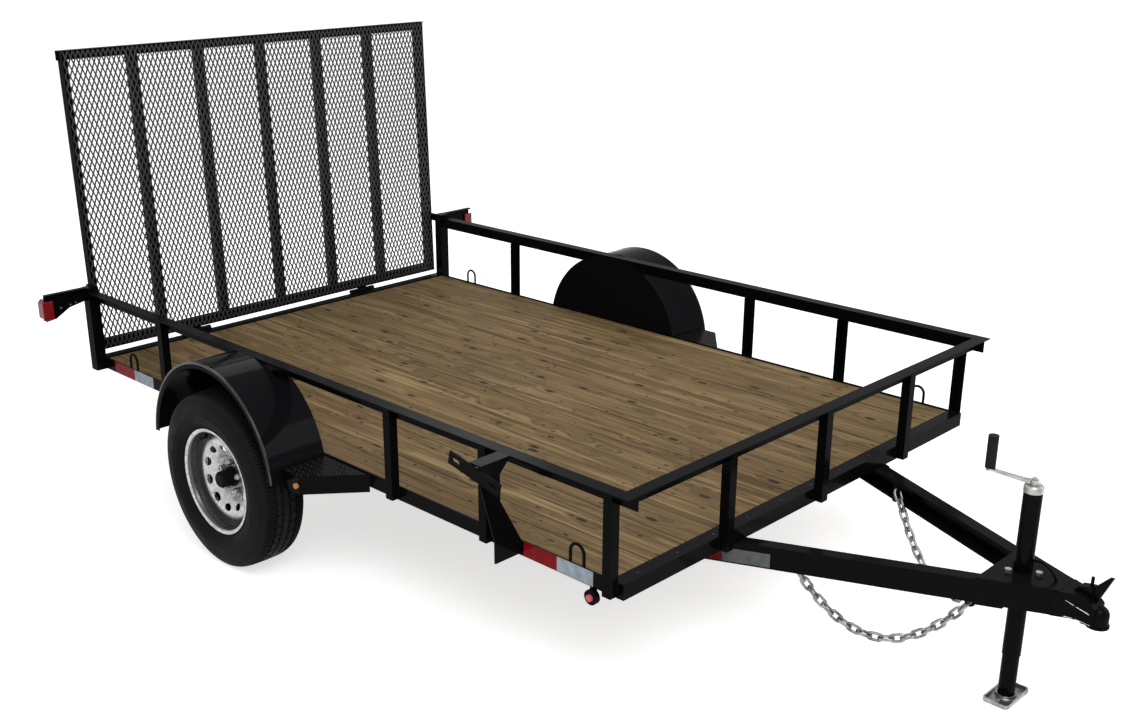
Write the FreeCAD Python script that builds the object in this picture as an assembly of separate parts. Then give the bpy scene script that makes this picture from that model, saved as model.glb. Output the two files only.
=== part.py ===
import FreeCAD, Part
import math
import os

# Single-axle utility trailer, millimetres.
# X runs forward to the coupler, Y to the left side, Z up; Z is 0 on the floor it stands on.
# While it is built, X is 0 at the front edge of the top rail. The end of the script moves
# every piece so that X is 0 halfway between the coupler nose and the back of the gate.

# Bed frame
frame_half_width = 967.0
frame_top_z = 478.0
frame_height = 51.0
frame_leg = 50.0
frame_wall = 5.0
frame_rear_x = -3048.0
deck_thickness = 32.0
deck_board_count = 11
deck_board_gap = 4.0
crossmember_count = 5
crossmember_leg = 46.0
crossmember_wall = 5.0

# Posts and top rail
post_leg = 33.0
post_wall = 4.0
post_bottom_z = 435.0
rail_overhang = 53.0
rail_leg = 46.0
rail_wall = 5.0
rail_top_z = 773.0
corner_post_x = -74.0
fourth_post_x = -586.0
third_post_x = -1040.0
second_post_x = -2454.0
front_post_spacing = 513.0
rear_post_width = 47.0
rear_post_wall = 4.0
rear_post_top_z = 792.0

# Tongue
tongue_half_angle = 24.2
tongue_apex_x = 909.0
tongue_tip_x = 835.0
tongue_rear_x = -640.0
tongue_height = 76.0
tongue_flange = 44.0
tongue_wall = 6.0
under_plate_rear_x = 588.0
under_plate_length = 78.0
under_plate_thickness = 6.0

# Jack
jack_x = 666.0
jack_plate_rear_x = 590.0
jack_plate_front_x = 800.0
jack_plate_thickness = 6.0
jack_tube_radius = 27.5
jack_tube_wall = 2.0
jack_tube_bottom_z = 150.0
jack_cap_bottom_z = 686.0
jack_cap_height = 22.0
jack_cap_radius = 29.0
jack_cap_chamfer = 5.0
jack_arm_length = 138.0
jack_arm_width = 22.0
jack_arm_thickness = 8.0
jack_knob_radius = 13.0
jack_knob_height = 8.0
jack_grip_radius = 15.5
jack_grip_height = 102.0
jack_grip_neck_radius = 7.0
jack_grip_neck_height = 5.0
jack_leg_radius = 25.2
jack_leg_wall = 3.0
jack_leg_reach_up = 405.0
jack_foot_length = 82.0
jack_foot_width = 148.0
jack_foot_thickness = 5.0
jack_foot_corner = 8.0
jack_foot_rim = 9.0
jack_bolt_circle = 50.0
jack_bolt_count = 3
jack_bolt_across = 19.0
jack_bolt_height = 11.0

# Coupler
coupler_ball_x = 901.0
coupler_ball_z = 375.0
coupler_ball_radius = 25.4
coupler_ball_clearance = 0.8
coupler_cup_radius = 29.5
coupler_skirt_depth = 36.0
coupler_lip_height = 7.0
coupler_lip_width = 3.5
coupler_rear_x = 786.0
coupler_side_wall = 5.0
coupler_side_height = 80.0
coupler_top_wall = 5.0
coupler_neck_half_width = 33.0
coupler_neck_x = 868.0
coupler_crown_share = 0.9
latch_base_x = 880.0
latch_base_length = 54.0
latch_base_height = 26.0
latch_base_width = 30.0
latch_lever_rise = 66.0
latch_lever_run = 36.0
latch_lever_thickness = 12.0
latch_stub_height = 26.0
latch_slope_share = 0.3
latch_low_share = 0.75
latch_stub_radius = 5.0

# Safety chains and the hooked rod beside the jack
chain_front_x = 560.0
chain_rear_x = 62.0
chain_rear_rise = 44.0
chain_sag = 190.0
chain_wire = 8.0
chain_link_inner_length = 32.0
chain_link_inner_width = 14.0
chain_link_slack = 0.9
chain_lug_thickness = 6.0
chain_lug_width = 32.0
chain_lug_drop = 24.0
chain_lug_hole_radius = 8.5
chain_seat_clearance = 0.5
chain_plane_gap = 1.0
chain_fine_steps = 2000
link_corner_share = 0.3
link_round_share = 0.45
hook_rod_radius = 3.5
hook_rod_run = 84.0
hook_rod_top = 50.0
hook_rod_bow = 16.0

# Axle, springs and wheels
axle_x = -1809.0
wheel_radius = 332.0
axle_tube_radius = 32.0
axle_step_share = 0.3
spindle_radius = 19.0
spindle_clearance = 0.5
spring_inset = 25.0
spring_width = 36.0
spring_half_span = 330.0
spring_leaf = 7.0
spring_rise = 8.0
spring_leaf_shares = (1.0, 0.70, 0.40)
spring_eye_radius = 12.0
spring_pin_radius = 6.0
spring_seat_length = 70.0
hanger_wall = 5.0
hanger_length = 44.0
hanger_play = 1.0
hanger_drop = 18.0

tyre_width = 200.0
tyre_tread_half = 71.0
tyre_shoulder_drop = 9.0
tyre_bulge_radius = 262.0
tyre_bead_radius = 185.0
tyre_bead_half = 75.0
low_wall_share = 0.93
high_wall_share = 0.95
tread_flat_share = 0.85
rim_lip_radius = 201.0
rim_half_width = 81.0
rim_wall = 5.0
rim_well_radius = 168.0
rim_well_half = 30.0
rim_well_taper = 12.0
disc_wall = 5.0
disc_outer_offset = 30.0
disc_edge_depth = 18.0
disc_crown_radius = 138.0
disc_crown_offset = 40.0
disc_shoulder_radius = 88.0
disc_shoulder_offset = 22.0
disc_hub_radius = 72.0
disc_bore_radius = 38.0
disc_hole_count = 10
disc_hole_radius = 14.0
disc_hole_circle = 116.0
lug_count = 5
lug_circle = 57.15
lug_across = 21.0
lug_height = 20.0
hub_flange_radius = 70.0
hub_flange_thickness = 10.0
hub_barrel_radius = 36.0
hub_inner_offset = -76.0
hub_cap_radius = 31.0
hub_cap_offset = 62.0
hub_cap_chamfer = 8.0
wheel_outboard = 156.0

# Fenders and steps
fender_radius = 380.0
fender_set_back = 15.0
fender_centre_z = 395.0
fender_wall = 3.0
fender_width = 233.0
fender_end_z = 428.0
fender_lip = 22.0
fender_panel_wall = 3.0
fender_rail_gap = 1.0
step_run = 609.0
step_outer_run = 455.0
step_reach = 185.0
step_top_z = 473.0
step_lip = 66.0
step_wall = 4.0
step_start_share = 0.85
marker_radius = 10.0
marker_depth = 9.0
marker_drop = 34.0
marker_inset = 10.0
corner_marker_x = -170.0
corner_marker_radius = 24.0
corner_marker_drop = 29.0
corner_marker_depth = 12.0

# Spare-wheel carrier on the right side
carrier_x = -483.0
carrier_arm_width = 50.0
carrier_arm_wall = 6.0
carrier_reach = 169.0
carrier_plate_length = 218.0
carrier_plate_height = 42.0
carrier_plate_tilt = 12.0
carrier_plate_z = 745.0
carrier_slot_length = 34.0
carrier_slot_radius = 7.0
carrier_slot_inset = 30.0
carrier_foot_z = 440.0
carrier_foot_reach = 115.0
carrier_foot_rise = 66.0
carrier_knee_reach = 93.0
carrier_knee_z = 640.0

# Tail lamps and their brackets
lamp_bracket_reach = 181.0
lamp_bracket_top_z = 792.0
lamp_bracket_inner_depth = 60.0
lamp_bracket_outer_depth = 116.0
lamp_bracket_wall = 5.0
lamp_bracket_flange = 22.0
lamp_hole_radius = 7.0
lamp_hole_shares = (0.24, 0.38, 0.62)
lamp_hole_low_share = 0.85
lamp_hole_fall_share = 0.45
lamp_edge_shares = ((0.75, 0.9), (0.4, 0.25), (0, 0))
lamp_drop_share = 0.4
lamp_width = 60.0
lamp_overhang = 10.0
lamp_height = 88.0
lamp_depth = 34.0
lamp_corner = 12.0
lamp_lens_depth = 10.0

# Gate
gate_side_gap = 6.0
gate_top_overhang = 8.0
gate_gap_x = 8.0
gate_bottom_z = 495.0
gate_height = 1260.0
gate_depth = 38.0
gate_leg = 40.0
gate_wall = 4.0
gate_bar_face = 41.0
gate_bar_shares = (0.166, 0.333, 0.5, 0.662, 0.82)
gate_lean = 1.8
mesh_thickness = 2.0
mesh_columns = 3
mesh_rows = 6
mesh_strand = 6.4
hinge_axis_x = -3064.0
hinge_axis_z = 480.0
hinge_radius = 10.0
hinge_pin_radius = 6.0
hinge_pin_clearance = 0.4
hinge_y = 480.0
hinge_knuckle = 48.0
hinge_knuckle_gap = 1.0
hinge_lug_depth = 12.0
latch_pin_radius = 6.0
latch_pin_length = 60.0
latch_pin_clearance = 6.0
latch_block_depth = 34.0
latch_block_height = 34.0
latch_block_width = 14.0
latch_block_z = 790.0

# Tie-down loops
loop_width = 64.0
loop_rise = 68.0
loop_rod = 10.0
loop_front_x = -238.0
loop_rear_x = -2770.0

frame_bottom_z = frame_top_z - frame_height
deck_top_z = frame_top_z - frame_wall
deck_bottom_z = deck_top_z - deck_thickness
rail_outer_y = frame_half_width + rail_overhang
rail_inner_y = rail_outer_y - rail_leg
frame_front_x = -rail_overhang
tongue_top_z = frame_bottom_z
tongue_bottom_z = tongue_top_z - tongue_height
tongue_slope = math.tan(math.radians(tongue_half_angle))
spring_y = frame_half_width - spring_inset
wheel_plane_y = frame_half_width + wheel_outboard
fender_x = axle_x - fender_set_back
fender_outer_y = frame_half_width + fender_width
step_front_x = axle_x + step_run
step_outer_x = axle_x + step_outer_run
step_outer_y = frame_half_width + step_reach
carrier_end_y = frame_half_width + carrier_reach
carrier_foot_y = frame_half_width + carrier_foot_reach
carrier_knee_y = frame_half_width + carrier_knee_reach
gate_half_width = frame_half_width - gate_side_gap
gate_front_x = frame_rear_x - gate_gap_x
neck_crown_z = coupler_ball_z + coupler_cup_radius * coupler_crown_share
rear_post_front_x = frame_rear_x + rear_post_width

up = FreeCAD.Vector(0, 0, 1)
along_x = FreeCAD.Vector(1, 0, 0)
along_y = FreeCAD.Vector(0, 1, 0)
origin = FreeCAD.Vector(0, 0, 0)


def block(x0, x1, y0, y1, z0, z1):
    corner = FreeCAD.Vector(min(x0, x1), min(y0, y1), min(z0, z1))
    return Part.makeBox(abs(x1 - x0), abs(y1 - y0), abs(z1 - z0), corner)


def rod(radius, start, end):
    axis = end - start
    return Part.makeCylinder(radius, axis.Length, start, axis)


def polygon_face(points):
    closed = [FreeCAD.Vector(*p) for p in points]
    closed.append(closed[0])
    return Part.Face(Part.makePolygon(closed))


def plan_prism(points, z0, z1):
    face = polygon_face([(x, y, z0) for x, y in points])
    return face.extrude(FreeCAD.Vector(0, 0, z1 - z0))


def side_prism(points, y0, y1):
    face = polygon_face([(x, y0, z) for x, z in points])
    return face.extrude(FreeCAD.Vector(0, y1 - y0, 0))


def cross_prism(points, x0, x1):
    face = polygon_face([(x0, y, z) for y, z in points])
    return face.extrude(FreeCAD.Vector(x1 - x0, 0, 0))


def fuse(shapes):
    whole = shapes[0]
    if len(shapes) > 1:
        whole = whole.multiFuse(shapes[1:])
    return whole.removeSplitter()


def mirrored(shape):
    return shape.mirror(origin, along_y)


def both_sides(shape):
    return Part.makeCompound([shape, mirrored(shape)])


def hexagon(across, height, base, axis):
    radius = across / math.sqrt(3)
    points = []
    for corner in range(6):
        angle = corner * math.pi / 3
        points.append((radius * math.cos(angle), radius * math.sin(angle), 0))
    nut = polygon_face(points).extrude(FreeCAD.Vector(0, 0, height))
    nut.Placement = FreeCAD.Placement(base, FreeCAD.Rotation(up, axis))
    return nut


def bed_frame():
    w = frame_half_width
    wall = frame_wall
    pieces = []
    for side in (1, -1):
        outer = side * w
        skin = side * (w - wall)
        edge = side * (w - frame_leg)
        foot_top = frame_bottom_z + wall
        pieces.append(block(frame_rear_x, frame_front_x, outer, skin, frame_bottom_z, frame_top_z))
        pieces.append(block(frame_rear_x, frame_front_x, skin, edge, frame_bottom_z, foot_top))
    inner = w - wall
    for x, inward in ((frame_front_x, -1), (frame_rear_x, 1)):
        web = x + inward * wall
        lip = x + inward * frame_leg
        pieces.append(block(x, web, -inner, inner, frame_bottom_z, frame_top_z))
        pieces.append(block(web, lip, -inner, inner, deck_top_z, frame_top_z))
    return fuse(pieces + crossmembers())


def crossmembers():
    half = frame_half_width - frame_wall
    length = frame_front_x - frame_rear_x
    members = []
    for place in range(crossmember_count):
        x = frame_rear_x + length * (place + 1) / (crossmember_count + 1)
        back = x - crossmember_wall
        front = x + crossmember_leg
        top = deck_bottom_z
        shelf = top - crossmember_wall
        members.append(block(back, front, -half, half, shelf, top))
        members.append(block(back, x, -half, half, frame_bottom_z, top))
    return members


def deck_boards():
    inner = frame_half_width - frame_wall
    pitch = (2 * inner + deck_board_gap) / deck_board_count
    x0 = frame_rear_x + frame_wall
    x1 = frame_front_x - frame_wall
    boards = []
    for place in range(deck_board_count):
        y0 = -inner + place * pitch
        boards.append(block(x0, x1, y0, y0 + pitch - deck_board_gap, deck_bottom_z, deck_top_z))
    return Part.makeCompound(boards)


def side_post(x_front):
    # An angle with one leg outside, in the plane of the side, and one leg across at its front.
    # The leg across is cut back at its top to clear the web of the rail.
    outer = -(frame_half_width + post_leg)
    face = outer + post_wall
    web_face = -(rail_inner_y + rail_wall)
    web_low = rail_top_z - rail_leg
    top = rail_top_z - rail_wall
    back = x_front - post_leg
    skin = x_front - post_wall
    leg = block(back, x_front, outer, face, post_bottom_z, top)
    across = block(skin, x_front, face, -frame_half_width, post_bottom_z, web_low)
    head = block(skin, x_front, face, web_face, web_low, top)
    return fuse([leg, across, head])


def opposite_post(x_front):
    # The left side has the same posts turned half round, so that the leg across is at the back.
    post = side_post(x_front)
    post.rotate(FreeCAD.Vector(x_front - post_leg / 2, 0, 0), up, 180)
    return post


def side_posts(make):
    places = (corner_post_x, fourth_post_x, third_post_x, second_post_x)
    return Part.makeCompound([make(x) for x in places])


def front_posts():
    posts = []
    top = rail_top_z - rail_wall
    web_low = rail_top_z - rail_leg
    web_face = rail_wall - rail_leg
    outer = frame_front_x + post_leg
    skin = outer - post_wall
    for place in (-1, 0, 1):
        y = place * front_post_spacing - post_leg / 2
        leg = block(skin, outer, y, y + post_leg, post_bottom_z, top)
        across = block(frame_front_x, skin, y, y + post_wall, post_bottom_z, web_low)
        head = block(web_face, skin, y, y + post_wall, web_low, top)
        posts.append(fuse([leg, across, head]))
    return Part.makeCompound(posts)


def rear_post():
    outer = -(frame_half_width + rear_post_width)
    inner = -frame_half_width
    wall = rear_post_wall
    low = frame_bottom_z
    high = rear_post_top_z
    tube = block(frame_rear_x, rear_post_front_x, outer, inner, low, high)
    bore = block(frame_rear_x + wall, rear_post_front_x - wall, outer + wall, inner - wall, low, high - wall)
    return tube.cut(bore)


def top_rail():
    flange_z = rail_top_z - rail_wall
    web_z = rail_top_z - rail_leg
    edge = rail_inner_y
    face = edge + rail_wall
    back = rear_post_front_x
    pieces = []
    for side in (1, -1):
        pieces.append(block(back, 0, side * rail_outer_y, side * edge, flange_z, rail_top_z))
        pieces.append(block(back, 0, side * face, side * edge, web_z, flange_z))
    pieces.append(block(-rail_leg, 0, -edge, edge, flange_z, rail_top_z))
    pieces.append(block(-rail_leg, rail_wall - rail_leg, -edge, edge, web_z, flange_z))
    return fuse(pieces)


def tongue_line(x, inset):
    # Distance from the middle of the trailer to a line set in from a member's outer face.
    across = inset / math.cos(math.radians(tongue_half_angle))
    return max(0, (tongue_apex_x - x) * tongue_slope - across)


def tongue_member():
    # A channel with its web outside and its flanges towards the middle, cut off along the middle.
    reach = tongue_flange / math.cos(math.radians(tongue_half_angle))
    meet_x = tongue_apex_x - reach / tongue_slope
    outline = [(tongue_rear_x, -tongue_line(tongue_rear_x, 0)),
               (tongue_tip_x, -tongue_line(tongue_tip_x, 0)),
               (tongue_tip_x, 0), (meet_x, 0),
               (tongue_rear_x, -tongue_line(tongue_rear_x, tongue_flange))]
    solid = plan_prism(outline, tongue_bottom_z, tongue_top_z)
    wall = tongue_wall
    end_x = tongue_apex_x - wall / math.sin(math.radians(tongue_half_angle))
    end_x = min(end_x, tongue_tip_x)
    hollow = [(tongue_rear_x, -tongue_line(tongue_rear_x, wall)),
              (end_x, -tongue_line(end_x, wall)),
              (end_x, 0), (tongue_rear_x, 0)]
    return solid.cut(plan_prism(hollow, tongue_bottom_z + wall, tongue_top_z - wall))


def tongue():
    right = tongue_member()
    return fuse([right, mirrored(right)])


def under_plate():
    x0 = under_plate_rear_x
    x1 = x0 + under_plate_length
    outline = [(x0, -tongue_line(x0, 0)), (x1, -tongue_line(x1, 0)),
               (x1, tongue_line(x1, 0)), (x0, tongue_line(x0, 0))]
    plate = plan_prism(outline, tongue_bottom_z - under_plate_thickness, tongue_bottom_z)
    hole = rod(jack_tube_radius, FreeCAD.Vector(jack_x, 0, 0), FreeCAD.Vector(jack_x, 0, tongue_top_z))
    return plate.cut(hole)


def jack_plate():
    x0 = jack_plate_rear_x
    x1 = jack_plate_front_x
    outline = [(x0, -tongue_line(x0, 0)), (x1, -tongue_line(x1, 0)),
               (x1, tongue_line(x1, 0)), (x0, tongue_line(x0, 0))]
    top = tongue_top_z + jack_plate_thickness
    plate = plan_prism(outline, tongue_top_z, top)
    hole = rod(jack_tube_radius, FreeCAD.Vector(jack_x, 0, 0), FreeCAD.Vector(jack_x, 0, rail_top_z))
    return plate.cut(hole)


def jack_bolts():
    top = tongue_top_z + jack_plate_thickness
    bolts = []
    for place in range(jack_bolt_count):
        angle = place * 2 * math.pi / jack_bolt_count
        x = jack_x + jack_bolt_circle * math.cos(angle)
        y = jack_bolt_circle * math.sin(angle)
        bolts.append(hexagon(jack_bolt_across, jack_bolt_height, FreeCAD.Vector(x, y, top), up))
    return Part.makeCompound(bolts)


def jack_tube():
    low = FreeCAD.Vector(jack_x, 0, jack_tube_bottom_z)
    high = FreeCAD.Vector(jack_x, 0, jack_cap_bottom_z)
    return rod(jack_tube_radius, low, high).cut(rod(jack_tube_radius - jack_tube_wall, low, high))


def jack_cap():
    low = FreeCAD.Vector(jack_x, 0, jack_cap_bottom_z)
    high = low + up * (jack_cap_height - jack_cap_chamfer)
    body = rod(jack_cap_radius, low, high)
    taper = Part.makeCone(jack_cap_radius, jack_cap_radius - jack_cap_chamfer, jack_cap_chamfer, high)
    return fuse([body, taper])


def jack_crank():
    z0 = jack_cap_bottom_z + jack_cap_height
    z1 = z0 + jack_arm_thickness
    half = jack_arm_width / 2
    end_x = jack_x - jack_arm_length
    arm = block(end_x, jack_x, -half, half, z0, z1)
    knob = Part.makeCylinder(jack_knob_radius, jack_knob_height, FreeCAD.Vector(jack_x, 0, z1))
    hub_end = Part.makeCylinder(half, jack_arm_thickness, FreeCAD.Vector(jack_x, 0, z0))
    grip_end = Part.makeCylinder(half, jack_arm_thickness, FreeCAD.Vector(end_x, 0, z0))
    neck_low = FreeCAD.Vector(end_x, 0, z1)
    neck_high = neck_low + up * jack_grip_neck_height
    neck = rod(jack_grip_neck_radius, neck_low, neck_high)
    return fuse([arm, hub_end, grip_end, neck, knob])


def jack_grip():
    end_x = jack_x - jack_arm_length
    z0 = jack_cap_bottom_z + jack_cap_height + jack_arm_thickness + jack_grip_neck_height
    return Part.makeCylinder(jack_grip_radius, jack_grip_height, FreeCAD.Vector(end_x, 0, z0))


def jack_leg():
    low = FreeCAD.Vector(jack_x, 0, jack_foot_thickness)
    high = FreeCAD.Vector(jack_x, 0, jack_leg_reach_up)
    return rod(jack_leg_radius, low, high).cut(rod(jack_leg_radius - jack_leg_wall, low, high))


def jack_foot():
    hx = jack_foot_length / 2
    hy = jack_foot_width / 2
    c = jack_foot_corner
    outline = [(-hx, -hy + c), (-hx + c, -hy), (hx - c, -hy), (hx, -hy + c),
               (hx, hy - c), (hx - c, hy), (-hx + c, hy), (-hx, hy - c)]
    placed = [(jack_x + x, y) for x, y in outline]
    plate = plan_prism(placed, 0, jack_foot_thickness)
    inset_x = (hx - jack_foot_thickness) / hx
    inset_y = (hy - jack_foot_thickness) / hy
    inner = [(jack_x + x * inset_x, y * inset_y) for x, y in outline]
    rim_top = jack_foot_thickness + jack_foot_rim
    rim = plan_prism(placed, jack_foot_thickness, rim_top)
    rim = rim.cut(plan_prism(inner, jack_foot_thickness, rim_top))
    return fuse([plate, rim])


def coupler():
    # Two side plates along the tongue, a top plate, a neck, and a cup over the hitch ball.
    wall = coupler_side_wall
    top = tongue_top_z + coupler_top_wall
    low = top - coupler_side_height
    rear = coupler_rear_x
    neck_x = coupler_neck_x
    half = coupler_neck_half_width
    side = [(rear, -tongue_line(rear, 0)), (tongue_tip_x, -tongue_line(tongue_tip_x, 0)),
            (neck_x, -half + wall), (neck_x, -half), (tongue_tip_x, -tongue_line(tongue_tip_x, -wall)),
            (rear, -tongue_line(rear, -wall))]
    right = plan_prism(side, low, tongue_top_z)
    roof_rear = jack_plate_front_x
    roof = [(roof_rear, -tongue_line(roof_rear, -wall)), (tongue_tip_x, -tongue_line(tongue_tip_x, -wall)),
            (neck_x, -half), (neck_x, half), (tongue_tip_x, tongue_line(tongue_tip_x, -wall)),
            (roof_rear, tongue_line(roof_rear, -wall))]
    roof_plate = plan_prism(roof, tongue_top_z, top)
    centre = FreeCAD.Vector(coupler_ball_x, 0, coupler_ball_z)
    skirt_low = centre - up * coupler_skirt_depth
    cup = Part.makeSphere(coupler_cup_radius, centre)
    cup = fuse([cup.common(upper_half(centre)), rod(coupler_cup_radius, skirt_low, centre)])
    lip = rod(coupler_cup_radius + coupler_lip_width, skirt_low, skirt_low + up * coupler_lip_height)
    neck_low = coupler_ball_z - coupler_skirt_depth + coupler_lip_height
    neck = side_prism([(neck_x - wall, top), (neck_x - wall, neck_low), (coupler_ball_x, neck_low),
                       (coupler_ball_x, neck_crown_z), (neck_x, top)], -half, half)
    body = fuse([right, mirrored(right), roof_plate, cup, lip, neck])
    room = coupler_ball_radius + coupler_ball_clearance
    hollow = fuse([Part.makeSphere(room, centre), rod(room, skirt_low - up * wall, centre)])
    return body.cut(hollow)


def upper_half(centre):
    r = coupler_cup_radius * 2
    return block(centre.x - r, centre.x + r, -r, r, centre.z, centre.z + r)


def neck_top_z(x):
    top = tongue_top_z + coupler_top_wall
    return top - (x - coupler_neck_x) * (top - neck_crown_z) / (coupler_ball_x - coupler_neck_x)


def coupler_latch():
    # A low housing on the coupler's roof, a lever standing up from the neck before it, and a stub.
    top = tongue_top_z + coupler_top_wall
    half = latch_base_width / 2
    x0 = latch_base_x - latch_base_length
    x1 = latch_base_x
    peak = top + latch_base_height
    slope_x = x0 + latch_base_length * latch_slope_share
    base = side_prism([(x0, top), (coupler_neck_x, top), (x1, neck_top_z(x1)), (x1, peak),
                       (slope_x, top + latch_base_height * latch_low_share)], -half, half)
    front = x1 + latch_lever_thickness
    high = top + latch_lever_rise
    lever = side_prism([(x1, neck_top_z(x1)), (front, neck_top_z(front)), (front + latch_lever_run, high),
                        (x1 + latch_lever_run, high), (x1, peak)], -half / 2, half / 2)
    stub_x = x1 - latch_stub_radius * 2
    stub = rod(latch_stub_radius, FreeCAD.Vector(stub_x, 0, peak - latch_stub_radius),
               FreeCAD.Vector(stub_x, 0, peak + latch_stub_height))
    return fuse([base, lever, stub])


def chain_link(length, width, wire):
    # A flat-sided ring along X, standing in the XZ plane, centred on the origin.
    half = length / 2
    rise = width / 2
    c = width * link_corner_share
    inner = [(-half, -rise + c), (-half + c, -rise), (half - c, -rise), (half, -rise + c),
             (half, rise - c), (half - c, rise), (-half + c, rise), (-half, rise - c)]
    ho = half + wire
    ro = rise + wire
    co = c + wire * link_round_share
    outer = [(-ho, -ro + co), (-ho + co, -ro), (ho - co, -ro), (ho, -ro + co),
             (ho, ro - co), (ho - co, ro), (-ho + co, ro), (-ho, ro - co)]
    ring = side_prism(outer, -wire / 2, wire / 2)
    return ring.cut(side_prism(inner, -wire / 2, wire / 2))


def chain_point(share):
    # The hanging line of the right-hand chain, beside the inner edge of its tongue member.
    x = chain_rear_x + (chain_front_x - chain_rear_x) * share
    y = -tongue_line(x, tongue_flange + chain_wire / 2 + chain_plane_gap)
    rear_z = tongue_bottom_z + chain_rear_rise
    front_z = tongue_bottom_z - under_plate_thickness - chain_lug_drop
    return FreeCAD.Vector(x, y, rear_z + (front_z - rear_z) * share - 4 * chain_sag * share * (1 - share))


def chain_stations(pitch):
    steps = chain_fine_steps
    points = [chain_point(i / steps) for i in range(steps + 1)]
    total = sum((points[i + 1] - points[i]).Length for i in range(steps))
    count = int(total / pitch)
    count -= 1 - count % 2
    spacing = total / count
    stations = [points[0]]
    travelled = 0
    for i in range(steps):
        travelled += (points[i + 1] - points[i]).Length
        if travelled >= spacing * len(stations) and len(stations) < count:
            stations.append(points[i + 1])
    stations.append(points[-1])
    return stations, spacing


def safety_chain():
    pitch = chain_link_inner_length - 2 * chain_link_slack
    stations, spacing = chain_stations(pitch)
    inner_length = spacing + 2 * chain_link_slack
    links = []
    for place in range(len(stations) - 1):
        start = stations[place]
        end = stations[place + 1]
        link = chain_link(inner_length, chain_link_inner_width, chain_wire)
        ahead = (end - start).normalize()
        across = up.cross(ahead).normalize()
        if place % 2:
            across = ahead.cross(across)
        turn = FreeCAD.Rotation(ahead, across.cross(ahead), across, "XZY")
        link.Placement = FreeCAD.Placement((start + end) * 0.5, turn)
        links.append(link)
    return Part.makeCompound(links)


def chain_lug(end, inwards, join):
    # A ring in the chain's own upright plane on a short leg, with the end link hooked through its eye.
    seat = math.sqrt(chain_lug_hole_radius ** 2 - (chain_wire / 2) ** 2)
    point = end - inwards * (chain_link_slack + seat - chain_seat_clearance)
    half = chain_lug_width / 2
    thick = chain_lug_thickness / 2
    ring = rod(half, point - along_y * thick, point + along_y * thick)
    reach = half * (1 if inwards.x < 0 else -1)
    near, far = sorted([point.x, point.x + reach])
    low, high = sorted([point.z, join])
    leg = block(near, far, point.y - chain_wire / 2 - chain_plane_gap, point.y + thick, low, high)
    eye = rod(chain_lug_hole_radius, point - along_y * half, point + along_y * half)
    lug = fuse([ring, leg]).cut(eye)
    run = chain_point(1) - chain_point(0)
    lug.rotate(point, up, math.degrees(math.atan2(run.y, run.x)))
    return lug


def chain_lugs():
    stations, spacing = chain_stations(chain_link_inner_length - 2 * chain_link_slack)
    first = (stations[1] - stations[0]).normalize()
    last = (stations[-2] - stations[-1]).normalize()
    rear = chain_lug(stations[0], first, tongue_bottom_z)
    front = chain_lug(stations[-1], last, tongue_bottom_z + tongue_wall)
    return Part.makeCompound([rear, front])


def hook_rod():
    # A bent steel rod from the front of the jack tube down to the top plate.
    base = tongue_top_z + jack_plate_thickness
    start = FreeCAD.Vector(jack_x + jack_tube_radius / 2, 0, base + hook_rod_top)
    end = FreeCAD.Vector(jack_x + jack_tube_radius + hook_rod_run, 0, base)
    middle = (start + end) * 0.5 + FreeCAD.Vector(hook_rod_bow, 0, hook_rod_bow)
    path = Part.Wire([Part.Arc(start, middle, end).toShape()])
    tangent = path.Edges[0].tangentAt(path.Edges[0].FirstParameter)
    circle = Part.Wire([Part.Circle(start, tangent, hook_rod_radius).toShape()])
    bent = path.makePipeShell([circle], True, True)
    post = Part.makeCylinder(jack_tube_radius, jack_cap_bottom_z, FreeCAD.Vector(jack_x, 0, 0))
    reach = FreeCAD.Vector(hook_rod_run * 2, hook_rod_run, 0)
    floor = block(jack_x - reach.x, jack_x + reach.x, -reach.y, reach.y, 0, base)
    return bent.cut(post).cut(floor)


def axle():
    reach = wheel_plane_y + hub_inner_offset - hub_barrel_radius * axle_step_share
    z = wheel_radius
    tube = rod(axle_tube_radius, FreeCAD.Vector(axle_x, -reach, z), FreeCAD.Vector(axle_x, reach, z))
    tip = wheel_plane_y + disc_wall
    spindle = rod(spindle_radius, FreeCAD.Vector(axle_x, -tip, z), FreeCAD.Vector(axle_x, tip, z))
    return fuse([tube, spindle])


def spring_line(share, depth):
    # An arc of the bowed stack, depth below the top of the longest leaf, as three points on it.
    count = len(spring_leaf_shares)
    top = wheel_radius + axle_tube_radius + spring_leaf * (count + 1)
    bow = (spring_half_span ** 2 + spring_rise ** 2) / (2 * spring_rise)
    turn = share * math.asin(spring_half_span / bow)
    radius = bow + depth
    points = []
    for way in (-1, 0, 1):
        x = axle_x + radius * math.sin(turn * way)
        z = top + bow - radius * math.cos(turn * way)
        points.append(FreeCAD.Vector(x, -(spring_y + spring_width / 2), z))
    return points


def spring_arc(share, level):
    # One leaf, bowed down in the middle, clamped there on its seat.
    upper = spring_line(share, level * spring_leaf)
    lower = spring_line(share, (level + 1) * spring_leaf)
    edges = [Part.Arc(*upper).toShape(), Part.makeLine(upper[2], lower[2]),
             Part.Arc(*lower).toShape(), Part.makeLine(lower[0], upper[0])]
    face = Part.Face(Part.Wire(Part.__sortEdges__(edges)))
    return face.extrude(along_y * spring_width)


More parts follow.
